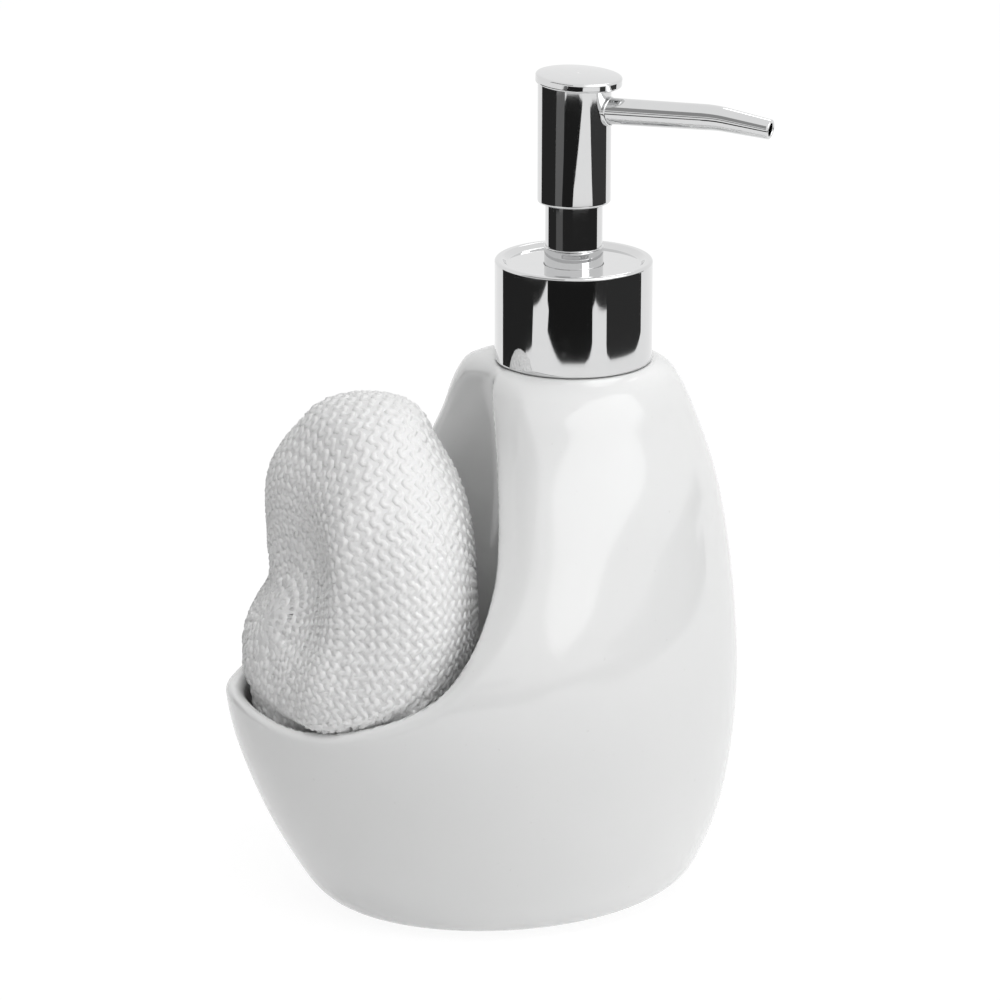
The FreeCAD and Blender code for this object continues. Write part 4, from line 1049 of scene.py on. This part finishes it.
yarn_mesh = bpy.data.meshes.new("knitted_loops")
yarn_mesh.from_pydata((np.concatenate(yarn_points) * MM).tolist(), yarn_edges, [])
knit = bpy.data.objects.new("knitted_loops", yarn_mesh)
bpy.context.scene.collection.objects.link(knit)


def yarn_tree(finish):
    """Geometry nodes that give every line of a mesh the thickness of yarn."""
    tree = bpy.data.node_groups.new("yarn_on_lines", "GeometryNodeTree")
    face = tree.interface
    face.new_socket("Lines", in_out="INPUT", socket_type="NodeSocketGeometry")
    radius = face.new_socket("Yarn radius", in_out="INPUT", socket_type="NodeSocketFloat")
    sides = face.new_socket("Yarn sides", in_out="INPUT", socket_type="NodeSocketInt")
    face.new_socket("Yarn", in_out="OUTPUT", socket_type="NodeSocketGeometry")
    given, result = tree.nodes.new("NodeGroupInput"), tree.nodes.new("NodeGroupOutput")
    lines = tree.nodes.new("GeometryNodeMeshToCurve")
    section = tree.nodes.new("GeometryNodeCurvePrimitiveCircle")
    tube = tree.nodes.new("GeometryNodeCurveToMesh")
    real = tree.nodes.new("GeometryNodeRealizeInstances")
    finish_node = tree.nodes.new("GeometryNodeSetMaterial")
    finish_node.inputs["Material"].default_value = finish
    for a, b in (
        (given.outputs["Lines"], lines.inputs["Mesh"]),
        (given.outputs["Yarn radius"], section.inputs["Radius"]),
        (given.outputs["Yarn sides"], section.inputs["Resolution"]),
        (lines.outputs["Curve"], tube.inputs["Curve"]),
        (section.outputs["Curve"], tube.inputs["Profile Curve"]),
        (tube.outputs["Mesh"], real.inputs["Geometry"]),
        (real.outputs["Geometry"], finish_node.inputs["Geometry"]),
        (finish_node.outputs["Geometry"], result.inputs["Yarn"]),
    ):
        tree.links.new(a, b)
    return tree, radius.identifier, sides.identifier


def thicken(piece, radius, sides):
    """Turns a piece's lines into tubes of yarn."""
    tree, radius_input, sides_input = yarn_tree(nylon_yarn)
    yarn = piece.modifiers.new("yarn", "NODES")
    yarn.node_group = tree
    yarn[radius_input], yarn[sides_input] = radius * MM, sides
    plain_mesh(piece, yarn)
    piece.data.shade_smooth()


thicken(knit, YARN_RADIUS, YARN_SIDES)
filling_piece = mesh_piece("nylon_filling", body_points, body_faces, nylon_filling)
for piece in (knit, filling_piece):
    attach(piece, "scrubber")
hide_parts("scrubber_pad")

# Gathering thread: a thin nylon thread, wound round itself in a small ring where it draws the
# knitting in, in the middle of the left face.
tie_low, tie_high = low_high("scrubber_tie")
tie_centre = (tie_low + tie_high) / 2
TIE_RADIUS, WIND_RADIUS, WINDINGS, WIND_STEPS = 2.5, 0.5, 17, 12
THREAD_RADIUS, THREAD_SIDES = 0.3, 6
wind = np.arange(WINDINGS * WIND_STEPS) * 2 * math.pi / WIND_STEPS
tie_turn = wind / WINDINGS
wide = TIE_RADIUS + WIND_RADIUS * np.cos(wind)
tie_points = np.stack([
    tie_centre.x + WIND_RADIUS * np.sin(wind),
    tie_centre.y + wide * np.cos(tie_turn),
    tie_centre.z + wide * np.sin(tie_turn),
], 1)
tie_mesh = bpy.data.meshes.new("gathering_thread")
tie_count = len(tie_points)
tie_lines = [(i, (i + 1) % tie_count) for i in range(tie_count)]
tie_mesh.from_pydata((tie_points * MM).tolist(), tie_lines, [])
tie = bpy.data.objects.new("gathering_thread", tie_mesh)
bpy.context.scene.collection.objects.link(tie)
thicken(tie, THREAD_RADIUS, THREAD_SIDES)
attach(tie, "scrubber")
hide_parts("scrubber_tie")
